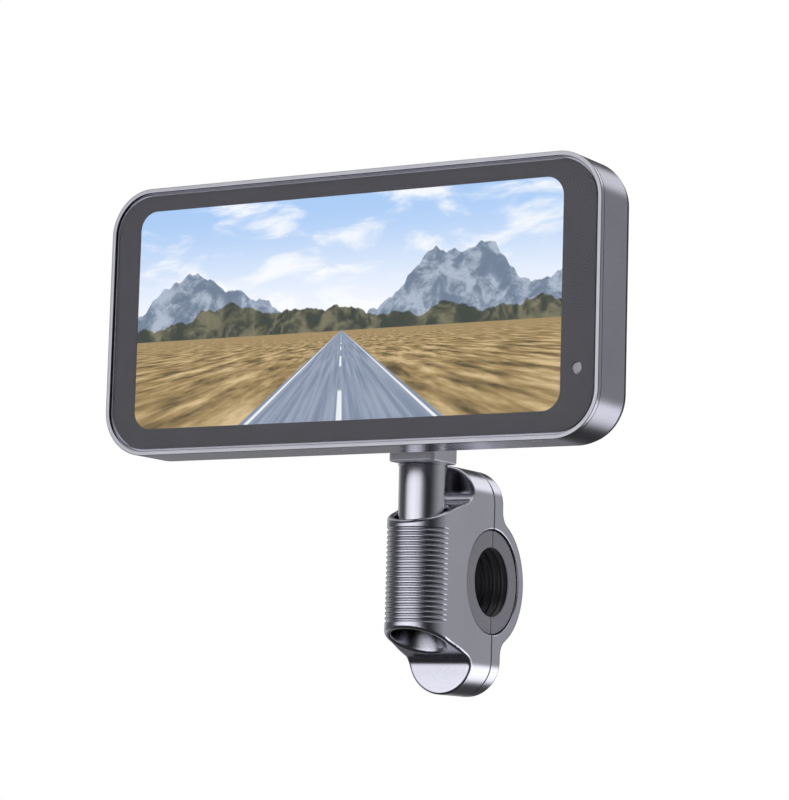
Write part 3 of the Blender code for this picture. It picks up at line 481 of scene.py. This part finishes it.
def printed_board(name):
    """Green solder resist with faint tracks and tinned pads."""
    material, g, shader = blank(name)
    place = object_place(g)
    tracks = g.cells(g.scale(place, (1.0, 0.0, 1.0)), 0.35, "DISTANCE_TO_EDGE")
    pads = g.cells(g.scale(place, (1.0, 0.0, 1.0)), 0.6)
    base = g.mix(g.step(tracks, 0.08, 0.05), (0.012, 0.085, 0.045), (0.03, 0.17, 0.09))
    base = g.mix(g.step(pads, 0.16, 0.12), base, (0.62, 0.60, 0.55))
    g.fill(shader, Base_Color=base, Roughness=0.4)
    return material


# ---------------------------------------------------------------- the made-up picture on the screen

HORIZON = 0.40
ROAD_HALF = 1.3
# Ranges of hills, far to near: seed, scale of the ridge, its rise, dark colour, light colour.
HILLS = (
    (3.7, 1.5, 0.95, (0.16, 0.21, 0.30), (0.42, 0.49, 0.60)),
    (8.2, 2.3, 0.45, (0.045, 0.055, 0.045), (0.20, 0.19, 0.12)),
)


def road_picture():
    """A lit screen with a plain made-up scene: sky, hills from noise, open ground, straight road."""
    material, g, shader = blank("lit_screen")
    x, _, z = g.split(g.add("ShaderNodeTexCoord").outputs["Object"])
    left = (SCREEN_OFFSET[0] - SCREEN_SIZE[0] / 2) * MM
    bottom = (DISPLAY_Z + SCREEN_OFFSET[1] - SCREEN_SIZE[1] / 2) * MM
    u = g.over(g.minus(x, left), SCREEN_SIZE[0] * MM)
    v = g.over(g.minus(z, bottom), SCREEN_SIZE[1] * MM)
    across = g.times(g.minus(u, 0.5), SCREEN_SIZE[0] / SCREEN_SIZE[1])
    flat = g.vector(across, v)

    picture = g.mix(g.step(v, HORIZON, 1.0), (0.93, 0.95, 1.0), (0.40, 0.60, 0.92))
    clouds = g.noise(g.scale(flat, (1.0, 2.6, 1.0)), 2.2, 5.0, 0.55, 0.4)
    picture = g.mix(g.times(g.step(clouds, 0.46, 0.64), 0.85), picture, (1.0, 1.0, 1.0))
    for seed, scale, rise, dark, light in HILLS:
        line = g.noise(g.vector(across, seed), scale, 5.0, 0.55)
        ridge = g.plus(HORIZON, g.times(g.math("MAXIMUM", g.minus(line, 0.30), 0.02), rise))
        rock = g.noise(flat, 9.0, 7.0, 0.7, 0.5)
        picture = g.mix(g.step(g.minus(ridge, v), 0.0, 0.008), picture,
                        g.mix(g.step(rock, 0.42, 0.62), dark, light))
    return finish_picture(material, g, shader, ground(g, picture, across, v), x, z)


def ground(g, picture, across, v):
    """Open ground and a straight road with edge lines and a broken middle line, in perspective."""
    drop = g.math("MAXIMUM", g.minus(HORIZON, v), 0.003)
    side = g.over(across, drop)
    ahead = g.over(0.4, drop)
    grass = g.noise(g.vector(side, ahead), 1.6, 6.0, 0.62)
    field = g.ramp(grass, ((0.36, (0.10, 0.075, 0.035)), (0.5, (0.36, 0.25, 0.11)),
                           (0.64, (0.66, 0.50, 0.27))))
    picture = g.mix(g.step(g.minus(HORIZON, v), 0.0, 0.004), picture, field)
    off_middle = g.math("ABSOLUTE", side)
    grain = g.noise(g.vector(g.times(side, 5.0), g.times(ahead, 0.35)), 1.8, 4.0, 0.55)
    asphalt = g.mix(g.step(grain, 0.35, 0.65), (0.20, 0.25, 0.35), (0.33, 0.38, 0.49))
    edge_line = g.band(off_middle, ROAD_HALF * 0.92, ROAD_HALF * 0.95, 0.015)
    dash = g.step(g.math("PINGPONG", ahead, 1.0), 0.45, 0.55)
    middle_line = g.times(g.step(off_middle, 0.045, 0.03), dash)
    asphalt = g.mix(g.math("MAXIMUM", edge_line, middle_line), asphalt, (0.85, 0.86, 0.88))
    road = g.times(g.step(off_middle, ROAD_HALF + 0.03, ROAD_HALF), g.step(g.minus(HORIZON, v), 0.0, 0.004))
    return g.mix(road, picture, asphalt)


def finish_picture(material, g, shader, picture, x, z):
    """Show a picture as light from the panel's fine grid of pixels."""
    pixel = g.cells(g.scale(g.vector(x, z), (1000.0, 1000.0, 1.0)), 8.0)
    g.put((0.004, 0.004, 0.004), shader.inputs["Base Color"])
    g.put(0.05, shader.inputs["Specular IOR Level"])
    g.put(0.35, shader.inputs["Roughness"])
    g.put(picture, shader.inputs["Emission Color"])
    g.put(g.plus(0.97, g.times(pixel, 0.06)), shader.inputs["Emission Strength"])
    return material


# ---------------------------------------------------------------- outlines and solids

def arc(centre, radius, start, end, steps):
    """Points along an arc, from the start angle to the end angle in degrees."""
    points = []
    for i in range(steps + 1):
        angle = math.radians(start + (end - start) * i / steps)
        points.append((centre[0] + radius * math.cos(angle), centre[1] + radius * math.sin(angle)))
    return points


def circle(centre, radius, segments=48):
    """Outline of a circle."""
    return arc(centre, radius, 0, 360 - 360 / segments, segments - 1)


def rounded_rectangle(centre, width, height, radius, steps=20):
    """Outline of a rectangle with round corners, anticlockwise."""
    dx = width / 2 - radius
    dy = height / 2 - radius
    points = []
    for quarter, (sx, sy) in enumerate(((1, 1), (-1, 1), (-1, -1), (1, -1))):
        corner = (centre[0] + sx * dx, centre[1] + sy * dy)
        points += arc(corner, radius, quarter * 90, quarter * 90 + 90, steps)
    return points


def new_object(name, mesh):
    """Put a bmesh into the scene as an object, with its faces turned outwards."""
    bmesh.ops.recalc_face_normals(mesh, faces=mesh.faces)
    data = bpy.data.meshes.new(name)
    mesh.to_mesh(data)
    mesh.free()
    obj = bpy.data.objects.new(name, data)
    bpy.context.collection.objects.link(obj)
    return obj


def on_axis(axis, along, a, b):
    """A point at (a, b) across an axis and 'along' it: X takes (y, z), Y (x, z), Z (x, y)."""
    if axis == "X":
        return Vector((along, a, b)) * MM
    if axis == "Y":
        return Vector((a, along, b)) * MM
    return Vector((a, b, along)) * MM


def prism(name, outline, axis, low, high):
    """A closed prism over an outline."""
    mesh = bmesh.new()
    ends = []
    for along in (low, high):
        ends.append([mesh.verts.new(on_axis(axis, along, a, b)) for a, b in outline])
    mesh.faces.new(ends[0])
    mesh.faces.new(ends[1])
    count = len(outline)
    for i in range(count):
        j = (i + 1) % count
        mesh.faces.new((ends[0][i], ends[0][j], ends[1][j], ends[1][i]))
    return new_object(name, mesh)


def turned(name, profile, axis, centre, segments=72, sweep=360, start=0, hollow=True):
    """Spin a profile of (radius, along) points about an axis through the centre."""
    mesh = bmesh.new()
    offset = on_axis(axis, 0.0, centre[0], centre[1])
    turn_axis = on_axis(axis, 1.0, 0.0, 0.0).normalized()
    base = Matrix.Rotation(math.radians(start), 4, turn_axis)
    verts = [mesh.verts.new(base @ on_axis(axis, along, radius, 0.0) + offset) for radius, along in profile]
    edges = [mesh.edges.new((verts[i], verts[i + 1])) for i in range(len(verts) - 1)]
    if hollow:
        edges.append(mesh.edges.new((verts[-1], verts[0])))
    part_turn = sweep < 360
    caps = [mesh.faces.new(verts)] if part_turn else []
    bmesh.ops.spin(mesh, geom=verts + edges + caps, cent=offset, axis=turn_axis,
                   angle=math.radians(sweep), steps=segments, use_duplicate=False)
    if part_turn:
        mesh.faces.new([mesh.verts.new(vert.co) for vert in verts])
    bmesh.ops.remove_doubles(mesh, verts=mesh.verts, dist=WELD)
    return new_object(name, mesh)


def apply_modifiers(obj):
    """Replace an object's mesh with its evaluated one and drop its modifiers."""
    bpy.context.view_layer.update()
    evaluated = obj.evaluated_get(bpy.context.evaluated_depsgraph_get())
    mesh = bpy.data.meshes.new_from_object(evaluated)
    obj.modifiers.clear()
    obj.data = mesh
    return obj


def carve(obj, tool, operation="DIFFERENCE", solver="EXACT"):
    """Cut, join or intersect an object with a tool, which is then deleted."""
    modifier = obj.modifiers.new("carve", "BOOLEAN")
    modifier.operation = operation
    modifier.solver = solver
    modifier.object = tool
    apply_modifiers(obj)
    bpy.data.objects.remove(tool, do_unlink=True)
    return obj


def bore(obj, outline, axis, low, high):
    """Cut a prism over an outline out of an object."""
    return carve(obj, prism("tool", outline, axis, low, high))


def mill(obj, tool):
    """Cut a tool out of a cast piece."""
    return carve(obj, tool, solver="MANIFOLD")


def bevel(obj, width, segments, angle):
    """Add a bevel on every edge sharper than an angle."""
    modifier = obj.modifiers.new("bevel", "BEVEL")
    modifier.limit_method = "ANGLE"
    modifier.angle_limit = math.radians(angle)
    modifier.width = width * MM
    modifier.segments = segments
    modifier.use_clamp_overlap = True
    return modifier


def soften(obj, width, segments=2, angle=30.0):
    """Round every edge sharper than an angle."""
    bevel(obj, width, segments, angle)
    return apply_modifiers(obj)


def chamfer(obj, width):
    """Cut a flat chamfer along every sharp edge; cast() clears up where chamfers meet."""
    bevel(obj, width, 1, 35.0).use_clamp_overlap = False
    return apply_modifiers(obj)


def round_end(obj, along, width, segments):
    """Round the outer edge of a prism's end at one depth along Y."""
    weights = obj.data.attributes.new("bevel_weight_edge", "FLOAT", "EDGE")
    for edge in obj.data.edges:
        if all(abs(obj.data.vertices[i].co.y / MM - along) < 0.01 for i in edge.vertices):
            weights.data[edge.index].value = 1.0
    bevel(obj, width, segments, 30.0).limit_method = "WEIGHT"
    return apply_modifiers(obj)


def cast(obj, voxel, rounds):
    """Remesh finely and relax, which rounds every edge and corner a little."""
    remesh = obj.modifiers.new("cast", "REMESH")
    remesh.mode = "VOXEL"
    remesh.voxel_size = voxel * MM
    relax = obj.modifiers.new("relax", "SMOOTH")
    relax.factor = 0.5
    relax.iterations = rounds
    return apply_modifiers(obj)


def dress(obj, material, body, node, crease=35.0):
    """Finish a piece: shading, material, and the CAD node that it stands for."""
    obj.data.shade_smooth()
    obj.data.set_sharp_from_angle(angle=math.radians(crease))
    obj.data.materials.clear()
    obj.data.materials.append(material)
    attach(obj, body)
    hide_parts(node)
    return obj


def casing_outline(inset, steps=24):
    """The casing's outline from the front, drawn in by an inset."""
    return rounded_rectangle((0.0, DISPLAY_Z), CASING_WIDTH - 2 * inset, CASING_HEIGHT - 2 * inset,
                             CASING_CORNER - inset, steps)


def weigh_normals(obj):
    """Let the large flat faces set the shading beside a bevel."""
    modifier = obj.modifiers.new("weigh", "WEIGHTED_NORMAL")
    modifier.keep_sharp = True
    modifier.weight = 60
    return obj


# ---------------------------------------------------------------- display unit

def build_casing(look):
    """Casing frame, polished front rim and rear cover."""
    shell = prism("casing_shell", casing_outline(0.0), "Y", RIM_HIGH.y + SEAM, FRAME_HIGH.y)
    round_end(shell, FRAME_HIGH.y, BACK_ROUNDING, 4)
    round_end(shell, RIM_HIGH.y + SEAM, 0.08, 1)
    bore(shell, casing_outline(CASING_WALL), "Y", FRONT_Y + LEDGE_BACK, FRAME_HIGH.y + 5)
    window = rounded_rectangle(middle_of("screen_panel"), PANEL_HIGH.x - PANEL_LOW.x + 0.6,
                               PANEL_HIGH.z - PANEL_LOW.z + 0.6, 0.5, 3)
    bore(shell, window, "Y", FRONT_Y + 1, FRONT_Y + LEDGE_BACK + 1)
    flap_low, flap_high = box_mm("port_flap")
    middle = middle_of("port_flap", "y", "z")
    bay = rounded_rectangle(middle, flap_high.y - flap_low.y + 0.6, flap_high.z - flap_low.z + 0.6, 1.2, 6)
    bore(shell, bay, "X", flap_low.x - 2, flap_high.x + 0.3)
    inner = box_mm("usb_socket")[0].x + 1.5
    usb = rounded_rectangle(middle_of("usb_socket", "y", "z"), 3.9, 9.8, 1.6, 6)
    bore(shell, usb, "X", flap_high.x - 0.5, inner)
    card = rounded_rectangle(middle_of("memory_card", "y", "z"), 1.8, 12.2, 0.3, 2)
    bore(shell, card, "X", flap_high.x - 0.5, inner)
    for button in ("power_button", "record_button"):
        centre = middle_of(button, "x", "y")
        slot = rounded_rectangle(centre, *BUTTON_SLOT, BUTTON_SLOT[1] / 2 - 0.01, 10)
        bore(shell, slot, "Z", FRAME_HIGH.z - 4, FRAME_HIGH.z + 2)
    weigh_normals(dress(shell, look["casing"], "display", "casing_frame"))

    rim = prism("polished_rim", casing_outline(0.0, 32), "Y", RIM_LOW.y, RIM_HIGH.y)
    bore(rim, casing_outline(RIM_BAND, 32), "Y", RIM_LOW.y - 1, RIM_HIGH.y + 1)
    soften(rim, 0.28, 3, 60.0)
    weigh_normals(dress(rim, look["rim"], "display", "front_rim"))

    cover = prism("back_cover", casing_outline(BACK_ROUNDING * 0.4), "Y", COVER_LOW.y, COVER_HIGH.y)
    round_end(cover, COVER_HIGH.y, 1.0, 4)
    hole = middle_of("lens_housing")
    bore(cover, circle(hole, LENS_HOLE, 64), "Y", COVER_LOW.y - 1, COVER_HIGH.y + 1)
    centre = middle_of("speaker")
    for row in (-2, -1, 0, 1, 2):
        slot = rounded_rectangle((centre[0], centre[1] + 3.0 * row), 13.0, 1.2, 0.59, 6)
        bore(cover, slot, "Y", COVER_LOW.y - 1, COVER_HIGH.y + 1)
    centre = middle_of("microphone")
    bore(cover, circle(centre, 0.6, 20), "Y", COVER_LOW.y - 1, COVER_HIGH.y + 1)
    centre = middle_of("heat_sink")
    for row in (-2, -1, 0, 1, 2):
        groove = rounded_rectangle((centre[0], centre[1] + 4.0 * row), 34.0, 2.0, 0.99, 6)
        bore(cover, groove, "Y", COVER_HIGH.y - 0.5, COVER_HIGH.y + 1)
    for place in range(1, 7):
        centre = middle_of(f"cover_screw_{place}")
        bore(cover, circle(centre, 2.3, 32), "Y", COVER_LOW.y + 0.5, COVER_HIGH.y + 1)
        bore(cover, circle(centre, 1.3, 24), "Y", COVER_LOW.y - 1, COVER_HIGH.y + 1)
    for place in range(1, 5):
        centre = middle_of(f"bracket_screw_{place}")
        bore(cover, circle(centre, 1.9, 24), "Y", COVER_LOW.y - 1, COVER_HIGH.y + 1)
    weigh_normals(dress(cover, look["cover"], "display", "rear_cover"))


def build_front(look):
    """Cover glass, printed bezel, light sensor and the lit panel."""
    glass = prism("front_glass", casing_outline((CASING_WIDTH - GLASS_HIGH.x + GLASS_LOW.x) / 2, 28),
                  "Y", GLASS_LOW.y, GLASS_HIGH.y)
    soften(glass, 0.4, 3, 60.0)
    weigh_normals(dress(glass, look["glass"], "display", "cover_glass"))

    mask_inset = (CASING_WIDTH - MASK_HIGH.x + MASK_LOW.x) / 2
    mask = prism("printed_bezel", casing_outline(mask_inset, 28), "Y", MASK_LOW.y, MASK_HIGH.y)
    centre = (SCREEN_OFFSET[0], DISPLAY_Z + SCREEN_OFFSET[1])
    screen = rounded_rectangle(centre, *SCREEN_SIZE, SCREEN_CORNER, 20)
    bore(mask, screen, "Y", MASK_LOW.y - 1, MASK_HIGH.y + 1)
    eye_low, eye_high = box_mm("light_sensor")
    eye = middle_of("light_sensor")
    bore(mask, circle(eye, SENSOR_HOLE, 40), "Y", MASK_LOW.y - 1, MASK_HIGH.y + 1)
    dress(mask, look["bezel"], "display", "bezel_mask")

    radius = (eye_high.x - eye_low.x) / 2
    lens = turned("light_window", [(0, eye_low.y), (radius * 0.8, eye_low.y), (radius, eye_low.y + 0.08),
                                   (radius, eye_high.y), (0, eye_high.y)], "Y", eye, 40, hollow=False)
    dress(lens, look["sensor"], "display", "light_sensor")

    face = rounded_rectangle(middle_of("screen_panel"), PANEL_HIGH.x - PANEL_LOW.x,
                             PANEL_HIGH.z - PANEL_LOW.z, 0.3, 2)
    panel = prism("lit_panel", face, "Y", PANEL_LOW.y, PANEL_HIGH.y)
    dress(panel, look["screen"], "display", "screen_panel")


# ---------------------------------------------------------------- stem

def build_stem(look):
    """Square block with its tilt lug and the polished tapered neck."""
    half = STEM_HIGH.x
    cut = half - BLOCK_CHAMFER
    corners = ((half, cut), (cut, half), (-cut, half), (-half, cut),
               (-half, -cut), (-cut, -half), (cut, -half), (half, -cut))
    block = prism("stem_block", [(x, STEM_Y + y) for x, y in corners], "Z", BLOCK_BOTTOM, BLOCK_TOP)
    soften(block, 0.5, 3, 60.0)
    lug = [(STEM_Y - EYE_RADIUS, BLOCK_TOP - 1.0), (STEM_Y + EYE_RADIUS, BLOCK_TOP - 1.0)]
    lug += arc((STEM_Y, TILT_Z), EYE_RADIUS, 0, 180, 40)
    eye = prism("eye", lug, "X", -LUG_HALF, LUG_HALF)
    soften(eye, 0.25, 2, 60.0)
    carve(block, eye, "UNION")
    radius, top = NECK_TOP
    neck = [(0, BLOCK_TOP - 2.0), (5.0, BLOCK_TOP - 2.0), (5.0, BLOCK_BOTTOM + 0.4),
            (radius - 0.1, BLOCK_BOTTOM + 0.4), (radius, BLOCK_BOTTOM + 0.2), (radius, top + 0.1),
            (radius - 0.1, top), (radius - 0.25, top - 0.05), NECK_MOUTH, SHOULDER,
            (SHOULDER[0] - 0.2, SHOULDER[1] - 0.2), (SPIGOT_RADIUS, SHOULDER[1] - 0.2),
            (SPIGOT_RADIUS, STEM_LOW.z), (0, STEM_LOW.z)]
    carve(block, turned("neck", neck, "Z", (0.0, STEM_Y), 96, hollow=False), "UNION")
    bore(block, circle((STEM_Y, TILT_Z), TILT_HOLE, 48), "X", -10, 10)
    bore(block, circle((0.0, STEM_Y), 2.3, 32), "Z", STEM_LOW.z - 1, 1.0)
    weigh_normals(dress(block, look["stem"], "stem", "swivel_stem", 28.0))


# ---------------------------------------------------------------- clamp

def pill_outline(steps=40):
    """The clamp from the front: a tall bar with round ends, as (x, z)."""
    half = HALF_HIGH.x
    straight = HALF_HIGH.z - half
    return arc((0.0, straight), half, 0, 180, steps) + arc((0.0, -straight), half, 180, 360, steps)


def front_half_profile():
    """The front half from the side, as (y, z): barrel, sloped shoulder, fillet and plate."""
    front = STEM_Y - BARREL_RADIUS
    slope = math.degrees(math.atan2(SLOPE_END[1] - BARREL_TOP, SLOPE_END[0] - front))
    fillet = (PLATE_FRONT - SLOPE_END[0]) / (1 - math.sin(math.radians(slope)))
    centre = (PLATE_FRONT - fillet, SLOPE_END[1] + fillet * math.cos(math.radians(slope)))
    upper = [(front, BARREL_TOP)] + arc(centre, fillet, slope - 90, 0, 16)
    upper += [(PLATE_FRONT, HALF_HIGH.z + 1), (4.0, HALF_HIGH.z + 1)]
    return upper + [(a, -b) for a, b in reversed(upper)]


def rear_cap_profile():
    """The rear cap from the side, as (y, z): flange, concave fillet and round back."""
    fillet = 5.0
    centre_y = FLANGE_BACK + fillet
    centre_z = math.sqrt((BULGE_RADIUS + fillet) ** 2 - centre_y ** 2)
    meet = math.degrees(math.atan2(centre_z, centre_y))
    upper = [(-4.0, CAP_HIGH.z + 1), (FLANGE_BACK, CAP_HIGH.z + 1)]
    upper += arc((centre_y, centre_z), fillet, 180, 180 + meet, 16)
    upper += arc((0.0, 0.0), BULGE_RADIUS, meet, 0, 30)[1:-1]
    return upper + [(BULGE_RADIUS, 0.0)] + [(a, -b) for a, b in reversed(upper)]


def seat_cutter():
    """The round seat for the rubber grips, with the groove for their rib."""
    groove = RIB_HALF_WIDTH + 0.3
    profile = [(0, -20), (SEAT_RADIUS, -20), (SEAT_RADIUS, -groove), (RIB_RADIUS + 0.3, -groove),
               (RIB_RADIUS + 0.3, groove), (SEAT_RADIUS, groove), (SEAT_RADIUS, 20), (0, 20)]
    return turned("seat", profile, "X", (0.0, 0.0), 120, hollow=False)


def cut_grooves(obj):
    """Press the rounded grip grooves into the barrel; they run out towards its sides."""
    pitch = GROOVE_SPAN / (GROOVE_COUNT - 1)
    mesh = bmesh.new()
    mesh.from_mesh(obj.data)

    def on_barrel(point):
        x, y, z = point.x / MM, point.y / MM - STEM_Y, point.z / MM
        grooved = y < 0 and abs(z) < GROOVE_SPAN / 2 + pitch / 2
        return grooved and abs(math.hypot(x, y) - BARREL_RADIUS) < 0.3

    edges = [edge for edge in mesh.edges if all(on_barrel(vertex.co) for vertex in edge.verts)]
    bmesh.ops.subdivide_edges(mesh, edges=edges, cuts=1, use_grid_fill=True)
    for vertex in mesh.verts:
        if on_barrel(vertex.co):
            y, z = vertex.co.y / MM - STEM_Y, vertex.co.z / MM + GROOVE_SPAN / 2
            wave = (0.5 + 0.5 * math.cos(2 * math.pi * z / pitch)) ** 1.4
            fade = min(1.0, max(0.0, (-y / BARREL_RADIUS - 0.03) / GROOVE_RUN_OUT))
            press = GROOVE_DEPTH * wave * fade * fade * (3 - 2 * fade) / BARREL_RADIUS
            vertex.co.x *= 1 - press
            vertex.co.y -= (vertex.co.y - STEM_Y * MM) * press
    mesh.to_mesh(obj.data)
    mesh.free()


def build_clamp(look):
    """Both halves of the clamp, cast with soft edges, and the rubber grips."""
    half = HALF_HIGH.x
    front = prism("clamp_body", front_half_profile(), "X", HALF_LOW.x, half)
    blend = [(half - (half - BARREL_RADIUS) * (0.5 + 0.5 * math.cos(math.pi * i / 10)), STEM_Y + 0.8 * i)
             for i in range(11)]
    shoulder = blend + [(half, 12)]
    plan = arc((0.0, STEM_Y), BARREL_RADIUS, 180, 360, 96)[1:-1] + shoulder
    plan += [(-x, y) for x, y in reversed(shoulder)]
    carve(front, prism("plan", plan, "Z", -50, 50), "INTERSECT")
    carve(front, prism("pill", pill_outline(), "Y", -60, 12), "INTERSECT")
    bore(front, circle((0.0, STEM_Y), BARREL_BORE, 96), "Z", 0.7, 40)
    bore(front, circle((0.0, STEM_Y), BARREL_BORE, 96), "Z", -40, -0.7)
    bore(front, circle((0.0, STEM_Y), 6.5, 64), "Z", -2, 2)
    chamfer(front, EDGE_CHAMFER)
    cast(front, ROUGH_CAST, 4)
    mill(front, seat_cutter())
    mill(front, slab("behind", -PARTING, 20))
    for side in (-1, 1):
        hole = prism("screw_hole", circle((0.0, side * CLAMP_SCREW_Z), SCREW_HOLE, 32), "Y", -9.8, 5)
        mill(front, hole)
    cast(front, FINE_CAST, 2)
    cut_grooves(front)
    dress(front, look["clamp"], "clamp", "clamp_front_half", 180.0)

    rear = prism("clamp_cap", rear_cap_profile(), "X", CAP_LOW.x, CAP_HIGH.x)
    carve(rear, prism("pill", pill_outline(), "Y", -20, 60), "INTERSECT")
    chamfer(rear, EDGE_CHAMFER)
    cast(rear, ROUGH_CAST, 4)
    mill(rear, seat_cutter())
    mill(rear, slab("ahead", -20, PARTING))
    for side in (-1, 1):
        centre = (0.0, side * CLAMP_SCREW_Z)
        mill(rear, prism("screw_hole", circle(centre, SCREW_HOLE, 32), "Y", -5, 20))
        mill(rear, prism("screw_bore", circle(centre, SCREW_HEAD_BORE, 48), "Y", 4.2, 20))
    cast(rear, FINE_CAST, 2)
    dress(rear, look["clamp"], "rear_cap", "clamp_rear_cap", 180.0)

    build_grip("grip_front", "bar_grip_front", "clamp", 90, look)
    build_grip("grip_rear", "bar_grip_rear", "rear_cap", -90, look)


def slab(name, front, back):
    """A block wider and taller than the clamp, between two depths."""
    return prism(name, [(-15, -40), (15, -40), (15, 40), (-15, 40)], "Y", front, back)


def build_grip(name, node, body, start, look):
    """One half of the rubber liner, with soft gripping rings inside."""
    edge = GRIP_EDGE
    chamfer = 0.25
    bore_radius = BAR_RADIUS + 0.15
    lower = [(bore_radius, chamfer - edge), (bore_radius + chamfer, -edge), (GRIP_RADIUS - chamfer, -edge),
             (GRIP_RADIUS, chamfer - edge), (GRIP_RADIUS, -RIB_HALF_WIDTH), (RIB_RADIUS, -RIB_HALF_WIDTH)]
    profile = lower + [(radius, -along) for radius, along in reversed(lower)]
    pitch = (2 * edge - 1.5) / GRIP_RINGS
    for i in range(GRIP_RINGS):
        middle = edge - 0.75 - pitch * (i + 0.5)
        for j in range(9):
            along = middle + pitch * (0.5 - j / 8)
            if 0 < j < 8 or i < GRIP_RINGS - 1 and j == 8:
                rise = 0.5 + 0.5 * math.cos(2 * math.pi * (0.5 - j / 8))
                profile.append((BAR_RADIUS + RING_DEPTH * (1 - rise), along))
    trim = math.degrees(0.15 / BAR_RADIUS) + 0.3
    grip = turned(name, profile, "X", (0.0, 0.0), 60, 180 - 2 * trim, start + trim)
    dress(grip, look["grip"], body, node, 40.0)


# ---------------------------------------------------------------- everything else

def paint_nodes(look):
    """Give every CAD node that stays in view, or inside, its procedural material."""
    painted = {
        "dark_metal": ("heat_sink", "tilt_bracket", "lens_housing", "power_button", "record_button"),
        "rim": ("lens_ring",),
        "steel": ("backlight_tray", "processor_shield", "microphone", "power_switch", "record_switch",
                  "usb_socket", "card_socket", "nut_plate", "tilt_nut", "stem_washer"),
        "black_steel": ("tilt_bolt", "stem_screw", "clamp_screw_upper", "clamp_screw_lower",
                        *(f"cover_screw_{i}" for i in range(1, 7)),
                        *(f"bracket_screw_{i}" for i in range(1, 5))),
        "black_plastic": ("battery_pack", "image_sensor", "speaker", "memory_card", "lens_stop",
                          "upper_bush", "lower_bush"),
        "rubber": ("port_flap",),
        "board": ("main_board",),
        "nylon": ("friction_washer_left", "friction_washer_right", "gps_antenna"),
        "lens": ("front_lens", "rear_lens"),
    }
    for name, nodes in painted.items():
        for node in nodes:
            bevel(NODES[node], NODE_EDGE, 2, 35.0)
            data = NODES[node].data
            data.materials.clear()
            data.materials.append(look[name])


def materials():
    """All the looks by name."""
    return {
        "casing": metal("casing_metal", (0.365, 0.365, 0.42), 0.26, (1.0, 0.06, 1.0), grain_scale=1.6),
        "rim": metal("rim_metal", (0.40, 0.40, 0.435), 0.20, (0.1, 1.0, 0.1), wear=0.0, bump=0.002,
                     side_colour=(0.365, 0.365, 0.42)),
        "stem": metal("stem_metal", (0.54, 0.54, 0.59), 0.15, (1.0, 1.0, 0.05), wear=0.1, bump=0.002,
                      blasted_above=NECK_TOP[1] + 0.7),
        # The clamp's colour carries painted shade in its hollows, through hollow_shade.
        "clamp": metal("clamp_metal", (0.55, 0.55, 0.62), 0.19, wear=0.0, bump=0.002, hollow_shade=0.9),
        "dark_metal": metal("dark_coat", (0.10, 0.10, 0.115), 0.42, grain_scale=3.0, bump=0.01),
        "cover": metal("cover_metal", (0.12, 0.12, 0.135), 0.38, (1.0, 1.0, 0.1), grain_scale=2.0),
        "steel": metal("bare_steel", (0.48, 0.48, 0.50), 0.32, (1.0, 1.0, 0.1)),
        "black_steel": metal("black_oxide", (0.05, 0.05, 0.055), 0.36),
        "black_plastic": plastic("black_plastic", (0.03, 0.03, 0.032), 0.55),
        "bezel": plastic("bezel_ink", (0.048, 0.047, 0.060), 0.5, 0.002, 1.0, 0.04),
        "sensor": plastic("sensor_window", (0.36, 0.34, 0.38), 0.3, 0.004, 1.0),
        "rubber": plastic("soft_rubber", (0.155, 0.155, 0.175), 0.62, 0.02, 3.0),
        # The grip's second colour is painted shade for the inside of its hole.
        "grip": grip_rubber("grip_rubber", (0.34, 0.335, 0.375), (0.05, 0.05, 0.056)),
        "nylon": plastic("white_nylon", (0.72, 0.71, 0.67), 0.45, 0.01),
        "board": printed_board("main_board"),
        "glass": clear_glass("front_glass", (1.0, 1.0, 1.0), 0.01, 1.15),
        "lens": clear_glass("lens_glass", (0.55, 0.62, 0.85)),
        "screen": road_picture(),
    }


build_camera()
build_world()
build_floor()
LOOK = materials()
build_casing(LOOK)
build_front(LOOK)
build_stem(LOOK)
build_clamp(LOOK)
paint_nodes(LOOK)
